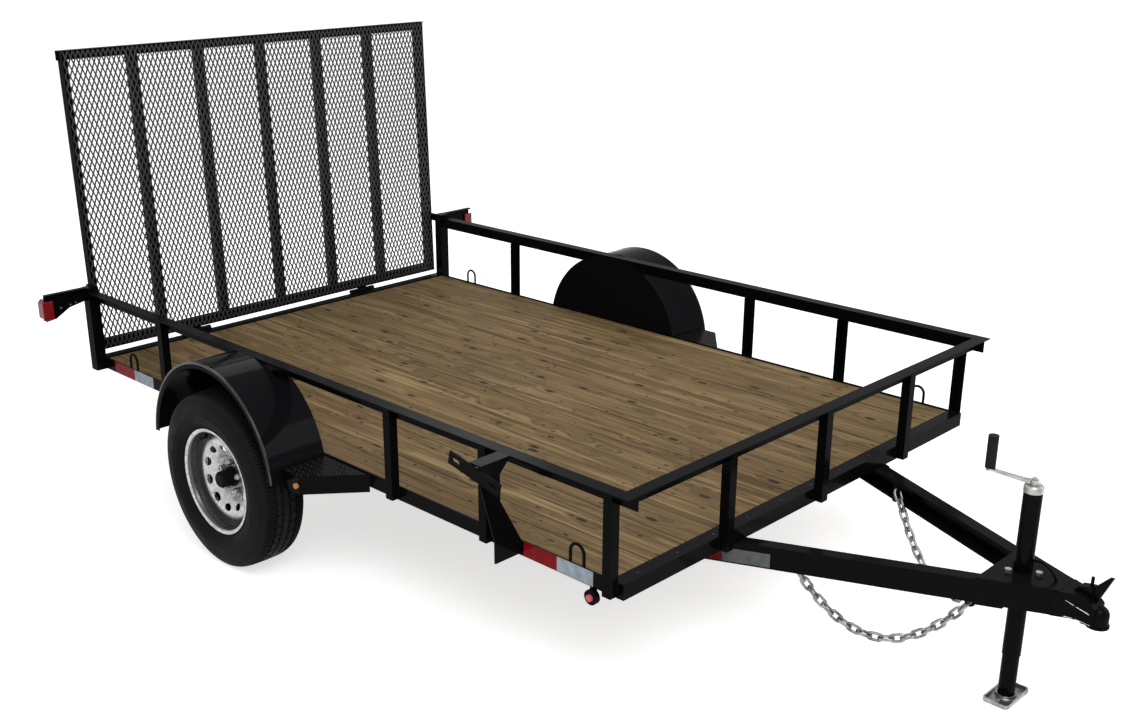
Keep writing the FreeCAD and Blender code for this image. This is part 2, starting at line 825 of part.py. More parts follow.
def spring():
    leaves = []
    count = len(spring_leaf_shares)
    for level, share in enumerate(spring_leaf_shares):
        leaves.append(spring_arc(share, level))
    half = spring_seat_length / 2
    low = wheel_radius + axle_tube_radius
    y0 = -(spring_y + spring_width / 2)
    y1 = -(spring_y - spring_width / 2)
    seat = block(axle_x - half, axle_x + half, y0, y1, low, low + spring_leaf * 3 / 2)
    clamp_top = low + spring_leaf * (count + 1) - spring_leaf / 2
    clamp = block(axle_x - half, axle_x + half, y0, y1, clamp_top, clamp_top + spring_leaf)
    eyes = []
    for side in (-1, 1):
        centre = eye_centre(side)
        y_start = FreeCAD.Vector(centre.x, y0, centre.z)
        y_end = FreeCAD.Vector(centre.x, y1, centre.z)
        eyes.append(rod(spring_eye_radius, y_start, y_end))
    body = fuse(leaves + [seat, clamp] + eyes)
    for side in (-1, 1):
        centre = eye_centre(side)
        body = body.cut(rod(spring_pin_radius, FreeCAD.Vector(centre.x, y0, centre.z),
                            FreeCAD.Vector(centre.x, y1, centre.z)))
    return body


def eye_centre(side):
    end = spring_line(1, spring_leaf / 2)[1 + side]
    return FreeCAD.Vector(end.x, 0, end.z)


def spring_hangers():
    hangers = []
    inner = spring_width / 2 + hanger_play
    for side in (-1, 1):
        centre = eye_centre(side)
        low = centre.z - hanger_drop
        x0 = centre.x - hanger_length / 2
        x1 = centre.x + hanger_length / 2
        pieces = []
        for way in (-1, 1):
            y = -spring_y + way * inner
            pieces.append(block(x0, x1, y, y + way * hanger_wall, low, frame_bottom_z))
        y_a = -spring_y - inner - hanger_wall
        y_b = -spring_y + inner + hanger_wall
        pieces.append(rod(spring_pin_radius, FreeCAD.Vector(centre.x, y_a, centre.z),
                          FreeCAD.Vector(centre.x, y_b, centre.z)))
        hangers.append(fuse(pieces))
    return Part.makeCompound(hangers)


def turned(profile):
    # Turns a profile of (radius, offset outboard) about the wheel's own axis.
    face = polygon_face([(r, 0, s) for r, s in profile])
    return face.revolve(origin, up, 360)


def to_wheel(shape):
    # Puts a wheel piece, made about Z with its outboard face up, on the right-hand side.
    placed = shape.copy()
    placed.rotate(origin, along_x, 90)
    placed.translate(FreeCAD.Vector(axle_x, -wheel_plane_y, wheel_radius))
    return placed


def tyre():
    half = tyre_width / 2
    shoulder = wheel_radius - tyre_shoulder_drop
    bulge = tyre_bulge_radius
    side_mid = (bulge + shoulder) / 2
    tread = tyre_tread_half * tread_flat_share
    bead = rim_lip_radius
    profile = [(tyre_bead_radius, -tyre_bead_half), (bead, -tyre_bead_half),
               ((bead + bulge) / 2, -half * low_wall_share), (bulge, -half), (side_mid, -half * high_wall_share),
               (shoulder, -tyre_tread_half - tyre_shoulder_drop / 2), (wheel_radius, -tread),
               (wheel_radius, tread), (shoulder, tyre_tread_half + tyre_shoulder_drop / 2),
               (side_mid, half * high_wall_share), (bulge, half), ((bead + bulge) / 2, half * low_wall_share),
               (bead, tyre_bead_half), (tyre_bead_radius, tyre_bead_half)]
    return to_wheel(turned(profile))


def rim():
    lip = rim_lip_radius
    seat = tyre_bead_radius
    wide = rim_half_width
    bead = tyre_bead_half
    well = rim_well_radius
    deep = rim_well_half
    out = deep + rim_well_taper
    wall = rim_wall
    inner = seat - wall
    barrel = turned([(lip, -wide), (lip, -bead), (seat, -bead), (seat, -out), (well, -deep),
                     (well, deep), (seat, out), (seat, bead), (lip, bead), (lip, wide),
                     (inner, wide), (inner, out), (well - wall, deep), (well - wall, -deep),
                     (inner, -out), (inner, -wide)])
    return barrel


def wheel_disc():
    t = disc_wall
    edge = rim_well_radius - rim_wall
    back = disc_outer_offset - disc_edge_depth
    line = [(edge, back), (edge, disc_outer_offset), (disc_crown_radius, disc_crown_offset),
            (disc_shoulder_radius, disc_shoulder_offset), (disc_hub_radius, t), (disc_bore_radius, t),
            (disc_bore_radius, 0), (disc_hub_radius, 0), (disc_shoulder_radius, disc_shoulder_offset - t),
            (disc_crown_radius, disc_crown_offset - t), (edge - t, back)]
    disc = turned(line)
    for place in range(disc_hole_count):
        angle = 2 * math.pi * place / disc_hole_count
        x = disc_hole_circle * math.cos(angle)
        y = disc_hole_circle * math.sin(angle)
        disc = disc.cut(rod(disc_hole_radius, FreeCAD.Vector(x, y, 0), FreeCAD.Vector(x, y, rim_half_width)))
    return disc


def wheel():
    return to_wheel(fuse([rim(), wheel_disc()]))


def hub():
    t = disc_wall
    low = hub_inner_offset
    cap = hub_cap_offset
    body = turned([(spindle_radius + spindle_clearance, low), (hub_barrel_radius, low),
                   (hub_barrel_radius, -hub_flange_thickness), (hub_flange_radius, -hub_flange_thickness),
                   (hub_flange_radius, 0), (hub_cap_radius, 0), (hub_cap_radius, cap - hub_cap_chamfer),
                   (hub_cap_radius - hub_cap_chamfer, cap), (0, cap), (0, t + 2 * spindle_clearance),
                   (spindle_radius + spindle_clearance, t + 2 * spindle_clearance)])
    nuts = []
    for place in range(lug_count):
        angle = 2 * math.pi * place / lug_count
        base = FreeCAD.Vector(lug_circle * math.cos(angle), lug_circle * math.sin(angle), t)
        nuts.append(hexagon(lug_across, lug_height, base, up))
    return to_wheel(Part.makeCompound([body] + nuts))


def fender():
    # A round hood over the wheel, closed towards the bed by a panel, with a turned-down outer edge,
    # and notched where the top rail passes.
    y_in = -frame_half_width
    y_out = -fender_outer_y
    r = fender_radius
    centre = FreeCAD.Vector(fender_x, 0, fender_centre_z)
    full = disc_slab(r, y_in, y_out, centre)
    inner = disc_slab(r - fender_wall, y_in - fender_panel_wall, y_out + fender_wall, centre)
    opening = disc_slab(r - fender_lip, y_in - fender_panel_wall, y_out, centre)
    below = block(fender_x - 2 * r, fender_x + 2 * r, y_in, y_out, -r, fender_end_z)
    rail = block(fender_x - r, fender_x + r, y_in, -rail_outer_y - fender_rail_gap,
                 rail_top_z - rail_leg - fender_rail_gap, rail_top_z + r)
    return full.cut(inner).cut(opening).cut(below).cut(rail)


def disc_slab(radius, y0, y1, centre):
    start = FreeCAD.Vector(centre.x, y0, centre.z)
    end = FreeCAD.Vector(centre.x, y1, centre.z)
    return rod(radius, start, end)


def step():
    # A three-cornered tread ahead of the wheel with a lip turned down along its outer edges.
    y_in = -frame_half_width
    y_out = -step_outer_y
    back_x = fender_x + fender_radius * step_start_share
    plate_low = step_top_z - step_wall
    low = step_top_z - step_lip
    slope = (step_front_x - step_outer_x) / (step_outer_y - frame_half_width)
    inset = step_wall * math.hypot(1, slope)

    def slant_x(y):
        return step_front_x + (y - y_in) * slope

    outline = [(back_x, y_in), (step_front_x, y_in), (step_outer_x, y_out), (back_x, y_out)]
    y_lip = y_out + step_wall
    y_past = y_in + step_wall
    hollow = [(back_x - step_wall, y_past), (slant_x(y_past) - inset, y_past),
              (slant_x(y_lip) - inset, y_lip), (back_x - step_wall, y_lip)]
    whole = plan_prism(outline, low, step_top_z).cut(plan_prism(hollow, low, plate_low))
    centre = FreeCAD.Vector(fender_x, 0, fender_centre_z)
    return whole.cut(disc_slab(fender_radius, 0, -2 * step_outer_y, centre))


def step_marker():
    z = step_top_z - marker_drop
    x = step_outer_x - marker_inset
    start = FreeCAD.Vector(x, -step_outer_y, z)
    return rod(marker_radius, start, start - along_y * marker_depth)


def corner_marker():
    # A round housing hung below the frame from a tab behind it.
    z = frame_bottom_z - corner_marker_drop
    y = -frame_half_width
    back = FreeCAD.Vector(corner_marker_x, y + frame_wall, z)
    cup = rod(corner_marker_radius, back, FreeCAD.Vector(corner_marker_x, y - corner_marker_depth, z))
    half = corner_marker_radius / 2
    tab = block(corner_marker_x - half, corner_marker_x + half, y, y + frame_wall, z, frame_bottom_z)
    return fuse([cup, tab])


def corner_marker_lens():
    z = frame_bottom_z - corner_marker_drop
    start = FreeCAD.Vector(corner_marker_x, -frame_half_width - corner_marker_depth, z)
    return rod(marker_radius, start, start - along_y * marker_depth)


def spare_carrier():
    # An arm out from the rail, a slotted plate across its end, and a tapering brace down to the frame.
    wall = carrier_arm_wall
    x0 = carrier_x - carrier_arm_width / 2
    x1 = carrier_x + carrier_arm_width / 2
    y_rail = -rail_outer_y
    y_end = -carrier_end_y
    arm = block(x0, x1, y_rail, y_end, rail_top_z - wall, rail_top_z)
    brace_x = x1 - wall
    brace = cross_prism([(y_rail, rail_top_z - wall), (y_end, rail_top_z - wall),
                         (y_end, carrier_plate_z - carrier_plate_height),
                         (-carrier_foot_y, carrier_foot_z + carrier_foot_rise),
                         (-carrier_foot_y, carrier_foot_z), (-frame_half_width, carrier_foot_z),
                         (-frame_half_width, carrier_foot_z + carrier_foot_rise / 2),
                         (-carrier_knee_y, carrier_knee_z), (-carrier_knee_y, rail_top_z - rail_leg)],
                        brace_x, x1)
    plate = end_plate()
    return fuse([arm, brace, plate])


def end_plate():
    half = carrier_plate_length / 2
    rise = carrier_plate_height / 2
    wall = carrier_arm_wall
    blank = block(-half, half, 0, -wall, -rise, rise)
    slot_half = carrier_slot_length / 2
    for side in (-1, 1):
        middle = side * (half - carrier_slot_inset)
        for x in (middle - slot_half + carrier_slot_radius, middle + slot_half - carrier_slot_radius):
            blank = blank.cut(rod(carrier_slot_radius, FreeCAD.Vector(x, 0, 0), FreeCAD.Vector(x, -wall, 0)))
        x0 = middle - slot_half + carrier_slot_radius
        x1 = middle + slot_half - carrier_slot_radius
        blank = blank.cut(block(x0, x1, 0, -wall, -carrier_slot_radius, carrier_slot_radius))
    blank.rotate(origin, along_y, carrier_plate_tilt)
    blank.translate(FreeCAD.Vector(carrier_x, -carrier_end_y, carrier_plate_z))
    return blank


def lamp_bracket():
    wall = lamp_bracket_wall
    y_in = -(frame_half_width + rear_post_width)
    y_out = y_in - lamp_bracket_reach
    top = lamp_bracket_top_z
    x0 = frame_rear_x + wall
    depth = lamp_bracket_outer_depth
    shallow = lamp_bracket_inner_depth
    edge = [(y_in, top), (y_out, top), (y_out, top - depth)]
    for reach_share, depth_share in lamp_edge_shares:
        edge.append((y_in - lamp_bracket_reach * reach_share, top - shallow - (depth - shallow) * depth_share))
    plate = cross_prism(edge, x0, x0 + wall)
    for share in lamp_hole_shares:
        y = y_in - lamp_bracket_reach * share
        z = top - shallow * (lamp_hole_low_share + lamp_hole_fall_share * share)
        plate = plate.cut(rod(lamp_hole_radius, FreeCAD.Vector(x0, y, z), FreeCAD.Vector(x0 + wall, y, z)))
    flange = block(x0 + wall, x0 + lamp_bracket_flange, y_in, y_out, top - wall, top)
    return fuse([plate, flange])


def tail_lamp():
    y_edge = -(frame_half_width + rear_post_width) - lamp_bracket_reach
    y0 = y_edge - lamp_overhang
    y1 = y0 + lamp_width
    z1 = lamp_bracket_top_z - lamp_bracket_inner_depth * lamp_drop_share
    z0 = z1 - lamp_height
    c = lamp_corner
    x1 = frame_rear_x + lamp_bracket_wall
    outline = [(y0 + c, z0), (y1, z0), (y1, z1), (y0 + c, z1), (y0, z1 - c), (y0, z0 + c)]
    return cross_prism(outline, x1 - lamp_depth, x1)


def gate_bars():
    # Middle of each upright bar, from the right-hand edge to the left.
    return [gate_half_width * (2 * share - 1) for share in gate_bar_shares]


def gate_frame():
    front = gate_front_x
    back = front - gate_depth
    skin = back + gate_wall
    w = gate_half_width
    z0 = gate_bottom_z
    z1 = z0 + gate_height
    outer = block(back, front, -w, w, z0, z1)
    room = block(skin, front, -w + gate_wall, w - gate_wall, z0 + gate_wall, z1 - gate_wall)
    window = block(back, skin, -w + gate_leg, w - gate_leg, z0 + gate_leg, z1 - gate_leg)
    pieces = [outer.cut(room).cut(window)]
    past = w + gate_top_overhang
    pieces.append(block(back, front, -past, past, z1 - gate_wall, z1))
    pieces.append(block(back, skin, -past, past, z1 - gate_leg, z1))
    face_x = front - mesh_thickness
    low = z0 + gate_wall
    high = z1 - gate_wall
    for y in gate_bars():
        y0 = y - gate_bar_face / 2
        pieces.append(block(face_x - gate_wall, face_x, y0, y0 + gate_bar_face, low, high))
        pieces.append(block(skin, face_x - gate_wall, y0, y0 + gate_wall, low, high))
    return fuse(pieces + gate_knuckles())


def gate_knuckles():
    knuckles = []
    half = hinge_knuckle / 2 - hinge_knuckle_gap
    lug = hinge_lug_depth / 2
    for side in (-1, 1):
        y0 = side * hinge_y - half
        y1 = side * hinge_y + half
        low = FreeCAD.Vector(hinge_axis_x, y0, hinge_axis_z)
        high = FreeCAD.Vector(hinge_axis_x, y1, hinge_axis_z)
        barrel = rod(hinge_radius, low, high)
        web = block(hinge_axis_x - lug, hinge_axis_x + lug, y0, y1, hinge_axis_z, gate_bottom_z)
        solid = fuse([barrel, web])
        knuckles.append(solid.cut(rod(hinge_pin_radius + hinge_pin_clearance, low, high)))
    return knuckles


def gate_mesh():
    # Expanded metal as one pierced sheet, the diamonds standing on end between the bars.
    front = gate_front_x
    w = gate_half_width - gate_wall
    z0 = gate_bottom_z + gate_wall
    z1 = z0 + gate_height - 2 * gate_wall
    sheet = block(front - mesh_thickness, front, -w, w, z0, z1)
    holes = []
    cell_h = (z1 - z0 - 2 * gate_leg) / mesh_rows
    middles = [-gate_half_width] + gate_bars() + [gate_half_width]
    for panel in range(len(middles) - 1):
        left = middles[panel] + gate_bar_face / 2
        cell_w = (middles[panel + 1] - gate_bar_face / 2 - left) / mesh_columns
        for row in range(2 * mesh_rows - 1):
            z = z0 + gate_leg + cell_h * (row + 1) / 2
            offset = row % 2
            for column in range(mesh_columns - offset):
                y = left + cell_w * (column + (1 + offset) / 2)
                holes.append(diamond(y, z, cell_w, cell_h))
    return sheet.cut(Part.makeCompound(holes))


def diamond(y, z, cell_w, cell_h):
    half_w = cell_w / 2 - mesh_strand
    half_h = cell_h / 2 - mesh_strand * 2
    return cross_prism([(y - half_w, z), (y, z - half_h), (y + half_w, z), (y, z + half_h)],
                       gate_front_x - mesh_thickness, gate_front_x)


def leaned(shape):
    placed = shape.copy()
    placed.rotate(FreeCAD.Vector(hinge_axis_x, 0, hinge_axis_z), along_y, -gate_lean)
    return placed


def gate_hinges():
    # Knuckles on the rear frame member either side of each gate knuckle, with the pin through them.
    hinges = []
    for side in (-1, 1):
        pieces = []
        y_mid = side * hinge_y
        for way in (-1, 1):
            y0 = y_mid + way * hinge_knuckle / 2
            y1 = y0 + way * hinge_knuckle
            low = FreeCAD.Vector(hinge_axis_x, min(y0, y1), hinge_axis_z)
            high = FreeCAD.Vector(hinge_axis_x, max(y0, y1), hinge_axis_z)
            pieces.append(rod(hinge_radius, low, high))
            pieces.append(block(hinge_axis_x, frame_rear_x, y0, y1, hinge_axis_z - hinge_radius,
                                min(hinge_axis_z + hinge_radius / 2, frame_top_z)))
        reach = hinge_knuckle * 3 / 2
        pieces.append(rod(hinge_pin_radius, FreeCAD.Vector(hinge_axis_x, y_mid - reach, hinge_axis_z),
                          FreeCAD.Vector(hinge_axis_x, y_mid + reach, hinge_axis_z)))
        hinges.append(fuse(pieces))
    return Part.makeCompound(hinges)


def gate_latch():
    # A block on the rear post with a sliding pin, drawn back clear of the gate.
    z0 = latch_block_z - latch_block_height
    y1 = -frame_half_width
    y0 = y1 - latch_block_width
    x0 = frame_rear_x - latch_block_depth
    body = block(x0, frame_rear_x, y0, y1, z0, latch_block_z)
    x = x0 + latch_block_depth / 2
    z = z0 + latch_block_height / 2
    tip = -(gate_half_width + latch_pin_clearance)
    pin = rod(latch_pin_radius, FreeCAD.Vector(x, tip - latch_pin_length, z), FreeCAD.Vector(x, tip, z))
    return fuse([body, pin])


def tie_loop(x):
    half = loop_width / 2
    r = loop_rod / 2
    y = -frame_half_width + r
    low = frame_top_z
    top = frame_top_z + loop_rise - r
    bend = half - r
    left = FreeCAD.Vector(x - bend, y, low)
    right = FreeCAD.Vector(x + bend, y, low)
    shoulder_z = top - bend
    legs = [rod(r, left, FreeCAD.Vector(x - bend, y, shoulder_z)),
            rod(r, right, FreeCAD.Vector(x + bend, y, shoulder_z))]
    bow = Part.makeTorus(bend, r, FreeCAD.Vector(x, y, shoulder_z), along_y)
    keep = block(x - loop_width, x + loop_width, y - loop_rod, y + loop_rod, shoulder_z, top + loop_rod)
    return fuse(legs + [bow.common(keep)])


def tie_loops():
    return Part.makeCompound([tie_loop(loop_front_x), tie_loop(loop_rear_x)])


def build():
    nodes = {}
    nodes["bed_frame"] = bed_frame()
    nodes["deck_boards"] = deck_boards()
    nodes["side_posts_right"] = side_posts(side_post)
    nodes["side_posts_left"] = side_posts(opposite_post)
    nodes["front_posts"] = front_posts()
    nodes["rear_posts"] = both_sides(rear_post())
    nodes["top_rail"] = top_rail()
    nodes["tongue"] = tongue()
    nodes["tongue_under_plate"] = under_plate()
    nodes["jack_plate"] = jack_plate()
    nodes["jack_bolts"] = jack_bolts()
    nodes["jack_tube"] = jack_tube()
    nodes["jack_cap"] = jack_cap()
    nodes["jack_crank"] = jack_crank()
    nodes["jack_grip"] = jack_grip()
    nodes["jack_leg"] = jack_leg()
    nodes["jack_foot"] = jack_foot()
    nodes["coupler"] = coupler()
    nodes["coupler_latch"] = coupler_latch()
    chain = safety_chain()
    nodes["safety_chain_right"] = chain
    nodes["safety_chain_left"] = mirrored(chain)
    nodes["chain_lugs"] = both_sides(chain_lugs())
    nodes["hook_rod"] = hook_rod()
    nodes["axle"] = axle()
    leaf = spring()
    nodes["spring_right"] = leaf
    nodes["spring_left"] = mirrored(leaf)
    nodes["spring_hangers"] = both_sides(spring_hangers())
    for name, piece in (("tyre", tyre()), ("wheel_rim", wheel()), ("wheel_hub", hub())):
        nodes[name + "_right"] = piece
        nodes[name + "_left"] = mirrored(piece)
    hood = fender()
    nodes["fender_right"] = hood
    nodes["fender_left"] = mirrored(hood)
    tread = step()
    nodes["step_right"] = tread
    nodes["step_left"] = mirrored(tread)
    nodes["marker_tabs"] = both_sides(corner_marker())
    nodes["marker_lamps"] = both_sides(Part.makeCompound([step_marker(), corner_marker_lens()]))
    nodes["spare_carrier"] = spare_carrier()
    bracket = lamp_bracket()
    nodes["lamp_bracket_right"] = bracket
    nodes["lamp_bracket_left"] = mirrored(bracket)
    lamp = tail_lamp()
    nodes["tail_lamp_right"] = lamp
    nodes["tail_lamp_left"] = mirrored(lamp)
    nodes["gate_frame"] = leaned(gate_frame())
    nodes["gate_mesh"] = leaned(gate_mesh())
    nodes["gate_hinges"] = gate_hinges()
    nodes["gate_latches"] = both_sides(gate_latch())
    nodes["tie_loops"] = both_sides(tie_loops())
    return nodes


def middle_x():
    nose = coupler_ball_x + coupler_cup_radius + coupler_lip_width
    lean = math.radians(gate_lean)
    back = (gate_front_x - gate_depth - hinge_axis_x) * math.cos(lean)
    rise = (gate_bottom_z + gate_height - hinge_axis_z) * math.sin(lean)
    tail = hinge_axis_x + back - rise
    return (nose + tail) / 2


os.makedirs("parts", exist_ok=True)
shift = FreeCAD.Vector(-middle_x(), 0, 0)
for name, shape in build().items():
    shape.translate(shift)
    shape.exportStep("parts/" + name + ".step")
    box = shape.BoundBox
    print(name, shape.isValid(), round(shape.Volume / 1000), len(shape.Solids),
          [round(v, 1) for v in (box.XMin, box.XMax, box.YMin, box.YMax, box.ZMin, box.ZMax)])
print("shift", shift.x)
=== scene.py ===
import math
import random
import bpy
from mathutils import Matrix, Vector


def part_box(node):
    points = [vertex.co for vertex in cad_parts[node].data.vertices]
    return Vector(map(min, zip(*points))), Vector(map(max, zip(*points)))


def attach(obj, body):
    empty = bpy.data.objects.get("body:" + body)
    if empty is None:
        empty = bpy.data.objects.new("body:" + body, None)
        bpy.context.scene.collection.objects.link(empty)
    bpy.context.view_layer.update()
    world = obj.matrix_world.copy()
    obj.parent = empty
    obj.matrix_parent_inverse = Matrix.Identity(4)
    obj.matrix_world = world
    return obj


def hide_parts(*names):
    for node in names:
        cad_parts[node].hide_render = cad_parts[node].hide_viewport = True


bl_info = {
    "name": "Utility trailer finish",
    "version": (1, 0, 0),
    "blender": (4, 5, 0),
    "location": "View3D > Sidebar > Trailer",
    "description": "Dresses the packed utility trailer with planks, mesh, tyres, chains and paint",
    "category": "Object",
}

import bmesh
import bpy
from mathutils import Matrix, Vector

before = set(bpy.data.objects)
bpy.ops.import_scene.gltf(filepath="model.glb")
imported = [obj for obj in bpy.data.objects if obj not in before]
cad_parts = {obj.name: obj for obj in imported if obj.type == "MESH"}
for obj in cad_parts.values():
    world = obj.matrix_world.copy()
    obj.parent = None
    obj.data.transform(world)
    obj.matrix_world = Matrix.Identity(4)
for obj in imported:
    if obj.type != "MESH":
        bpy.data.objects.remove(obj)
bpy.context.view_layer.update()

MM = 0.001
RAIL_FRONT_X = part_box("top_rail")[1].x


def at(x, y, z):
    """A point in metres from millimetres, with X counted forward from the top rail's front."""
    return Vector((RAIL_FRONT_X + x * MM, y * MM, z * MM))


SIDES = (("right", -1), ("left", 1))
QUARTER = math.radians(90)
EDGE_ANGLE = math.radians(40)
AXLE = at(-1809.0, 1123.0, 332.0)
GATE_HINGE = at(-3064.0, 0.0, 480.0)
GATE_LEAN = math.radians(-1.8)
TONGUE_ANGLE = math.radians(24.2)
TONGUE_APEX_X = 909.0
FENDER_CENTRE = at(-1824.0, 0.0, 395.0)
FRAME_LOW, FRAME_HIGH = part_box("bed_frame")
DECK_LOW, DECK_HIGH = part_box("deck_boards")
BOARDS = 11
BOARD_GAP = 0.004
BOARD_PITCH = (DECK_HIGH.y - DECK_LOW.y + BOARD_GAP) / BOARDS
WHITE = (1.0, 1.0, 1.0, 1.0)
DUST = (0.060, 0.058, 0.055)
FINISHES = {}

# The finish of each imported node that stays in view.
PAINTED = {
    "paint": ("bed_frame", "tongue", "tongue_under_plate", "jack_plate", "jack_tube", "jack_leg",
              "coupler", "coupler_latch", "chain_lugs", "axle", "spring_right", "spring_left",
              "spring_hangers", "marker_tabs", "spare_carrier", "lamp_bracket_right",
              "lamp_bracket_left", "gate_hinges", "gate_latches", "tie_loops", "step_right",
              "step_left"),
    "rail": ("top_rail", "side_posts_right", "side_posts_left", "front_posts", "rear_posts"),
    "gate": ("gate_frame",),
    "fender": ("fender_right", "fender_left"),
    "zinc": ("jack_cap", "jack_bolts"),
    "chain": ("jack_foot",),
    "grip": ("jack_grip",),
    "red": ("tail_lamp_right", "tail_lamp_left"),
    "amber": ("marker_lamps",),
}


def turned(angle, axis, spot=(0.0, 0.0, 0.0)):
    """A place at a spot, turned about one axis."""
    return Matrix.Translation(spot) @ Matrix.Rotation(angle, 4, axis)


def facing(x_axis, y_axis, z_axis, spot):
    """A place at a spot, whose axes point along three directions."""
    return Matrix((*zip(x_axis, y_axis, z_axis, spot), (0, 0, 0, 1)))


def turns(count, offset=0.0):
    """The angles of even steps round a circle."""
    return [2 * math.pi * (step + offset) / count for step in range(count)]


def around(radius, turn, height=0.0):
    """A point by its radius, angle and height about the local Z axis."""
    return Vector((radius * math.cos(turn), radius * math.sin(turn), height))


def shade(colour, factor, lift=0.0):
    """A darker or lighter form of a colour."""
    return tuple(min(1.0, part * factor + lift) for part in colour)


class Shape:
    """Collects corners and faces, and makes one object of them."""

    def __init__(self):
        self.corners = []
        self.faces = []
        self.slots = []

    def loft(self, rings, slot=0, place=None, looped=False, closed=True):
        """Joins rings of corners in turn, and caps both ends unless the last joins the first."""
        start = len(self.corners)
        count, rows = len(rings), len(rings[0])
        for ring in rings:
            for corner in ring:
                point = Vector(corner)
                self.corners.append(place @ point if place else point)
        faces = []
        for step in range(count if looped else count - 1):
            here, ahead = step * rows, (step + 1) % count * rows
            for row in range(rows if closed else rows - 1):
                after = (row + 1) % rows
                faces.append((here + row, here + after, ahead + after, ahead + row))
        if not looped:
            faces += [range(rows - 1, -1, -1), range((count - 1) * rows, count * rows)]
        for face in faces:
            self.faces.append([start + index for index in face])
            self.slots.append(slot)

    def prism(self, outline, low, high, slot=0, place=None):
        """Pushes a flat outline, given in local X and Y, from one height to another."""
        self.loft([[(x, y, z) for x, y in outline] for z in (low, high)], slot, place)

    def box(self, low, high, slot=0, place=None):
        (x0, y0, z0), (x1, y1, z1) = low, high
        self.prism([(x0, y0), (x1, y0), (x1, y1), (x0, y1)], z0, z1, slot, place)

    def lathe(self, profile, segments, place, slot=0, closed=True):
        """Turns (radius, height) points, in millimetres, about the local Z axis."""
        rings = [[around(radius * MM, turn, height * MM) for radius, height in profile]
                 for turn in turns(segments)]
        self.loft(rings, slot, place, looped=True, closed=closed)

    def tube(self, path, radii, sides=8, closed=False, place=None):
        """A round bar along points, of one radius or of one for each point."""
        points = [Vector(point) for point in path]
        count = len(points)
        side = None
        rings = []
        for index, point in enumerate(points):
            if closed:
                ahead = points[(index + 1) % count] - points[index - 1]
            else:
                ahead = points[min(index + 1, count - 1)] - points[max(index - 1, 0)]
            ahead.normalize()
            if side is None:
                side = ahead.orthogonal().normalized()
            else:
                side = (side - ahead * side.dot(ahead)).normalized()
            other = ahead.cross(side)
            radius = radii[index] if isinstance(radii, list) else radii
            rings.append([point + (side * math.cos(turn) + other * math.sin(turn)) * radius
                          for turn in turns(sides)])
        self.loft(rings, place=place, looped=closed)

    def make(self, name, finishes, body, smooth=35.0, bevel=0.0, bevel_segments=2):
        """Makes the piece, rounds its edges and rides it on a body."""
        mesh = bpy.data.meshes.new(name)
        mesh.from_pydata([tuple(corner) for corner in self.corners], [], self.faces)
        for finish in finishes.split():
            mesh.materials.append(FINISHES[finish])
        mesh.polygons.foreach_set("material_index", self.slots)
        work = bmesh.new()
        work.from_mesh(mesh)
        bmesh.ops.recalc_face_normals(work, faces=work.faces)
        work.to_mesh(mesh)
        work.free()
        mesh.shade_smooth()
        mesh.set_sharp_from_angle(angle=math.radians(smooth))
        piece = bpy.data.objects.new(name, mesh)
        bpy.context.scene.collection.objects.link(piece)
        if bevel:
            rounding = piece.modifiers.new("rounded_edges", "BEVEL")
            rounding.width = bevel
            rounding.segments = bevel_segments
            rounding.limit_method = "ANGLE"
            rounding.angle_limit = EDGE_ANGLE
            rounding.harden_normals = True
        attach(piece, body)
        return piece


class Nodes:
    """A node tree, with short ways to add to it."""

    def __init__(self, tree):
        self.tree = tree

    def feed(self, socket, value):
        """Links an output to a socket, or sets the socket to a plain value."""
        if hasattr(value, "is_output"):
            self.tree.links.new(value, socket)
        else:
            socket.default_value = value

    def node(self, kind, inputs=(), **settings):
        """Adds a node, with its settings and what feeds its sockets."""
        made = self.tree.nodes.new("ShaderNode" + kind)
        for key, value in settings.items():
            setattr(made, key, value)
        for key, value in dict(inputs).items():
            self.feed(made.inputs[key], value)
        return made

    def effect(self, name, **values):
        """Places a shared effect with its own values."""
        return self.node("Group", values, node_tree=bpy.data.node_groups[name]).outputs[0]

    def place(self):
        return self.node("TexCoord").outputs["Object"]

    def noise(self, vector, scale, detail, roughness=0.5, distortion=0.0):
        inputs = {"Vector": vector, "Scale": scale, "Detail": detail, "Roughness": roughness,
                  "Distortion": distortion}
        return self.node("TexNoise", inputs).outputs["Fac"]

    def cells(self, vector, scale, **settings):
        return self.node("TexVoronoi", {"Vector": vector, "Scale": scale}, **settings).outputs

    def mix_colour(self, mask, first, second):
        """Runs from the first colour to the second by a mask."""
        ends = [end if hasattr(end, "is_output") else (*end, 1.0) for end in (first, second)]
        return self.node("Mix", {0: mask, 6: ends[0], 7: ends[1]}, data_type="RGBA").outputs[2]

    def range(self, value, low, high, from_low=0.0, from_high=1.0):
        """Carries a value from its own range to another, and holds it at the ends."""
        inputs = {"Value": value, "To Min": low, "To Max": high, "From Min": from_low,
                  "From Max": from_high}
        return self.node("MapRange", inputs).outputs["Result"]

    def math(self, operation, *values):
        return self.node("Math", enumerate(values), operation=operation).outputs[0]

    def vector(self, operation, *values):
        return self.node("VectorMath", enumerate(values), operation=operation).outputs

    def seen_rays(self):
        """One for rays from the camera, and for those that gloss and glass send on."""
        path = self.node("LightPath").outputs
        straight = self.math("MAXIMUM", path["Is Camera Ray"], path["Is Glossy Ray"])
        return self.math("MAXIMUM", straight, path["Is Transmission Ray"])


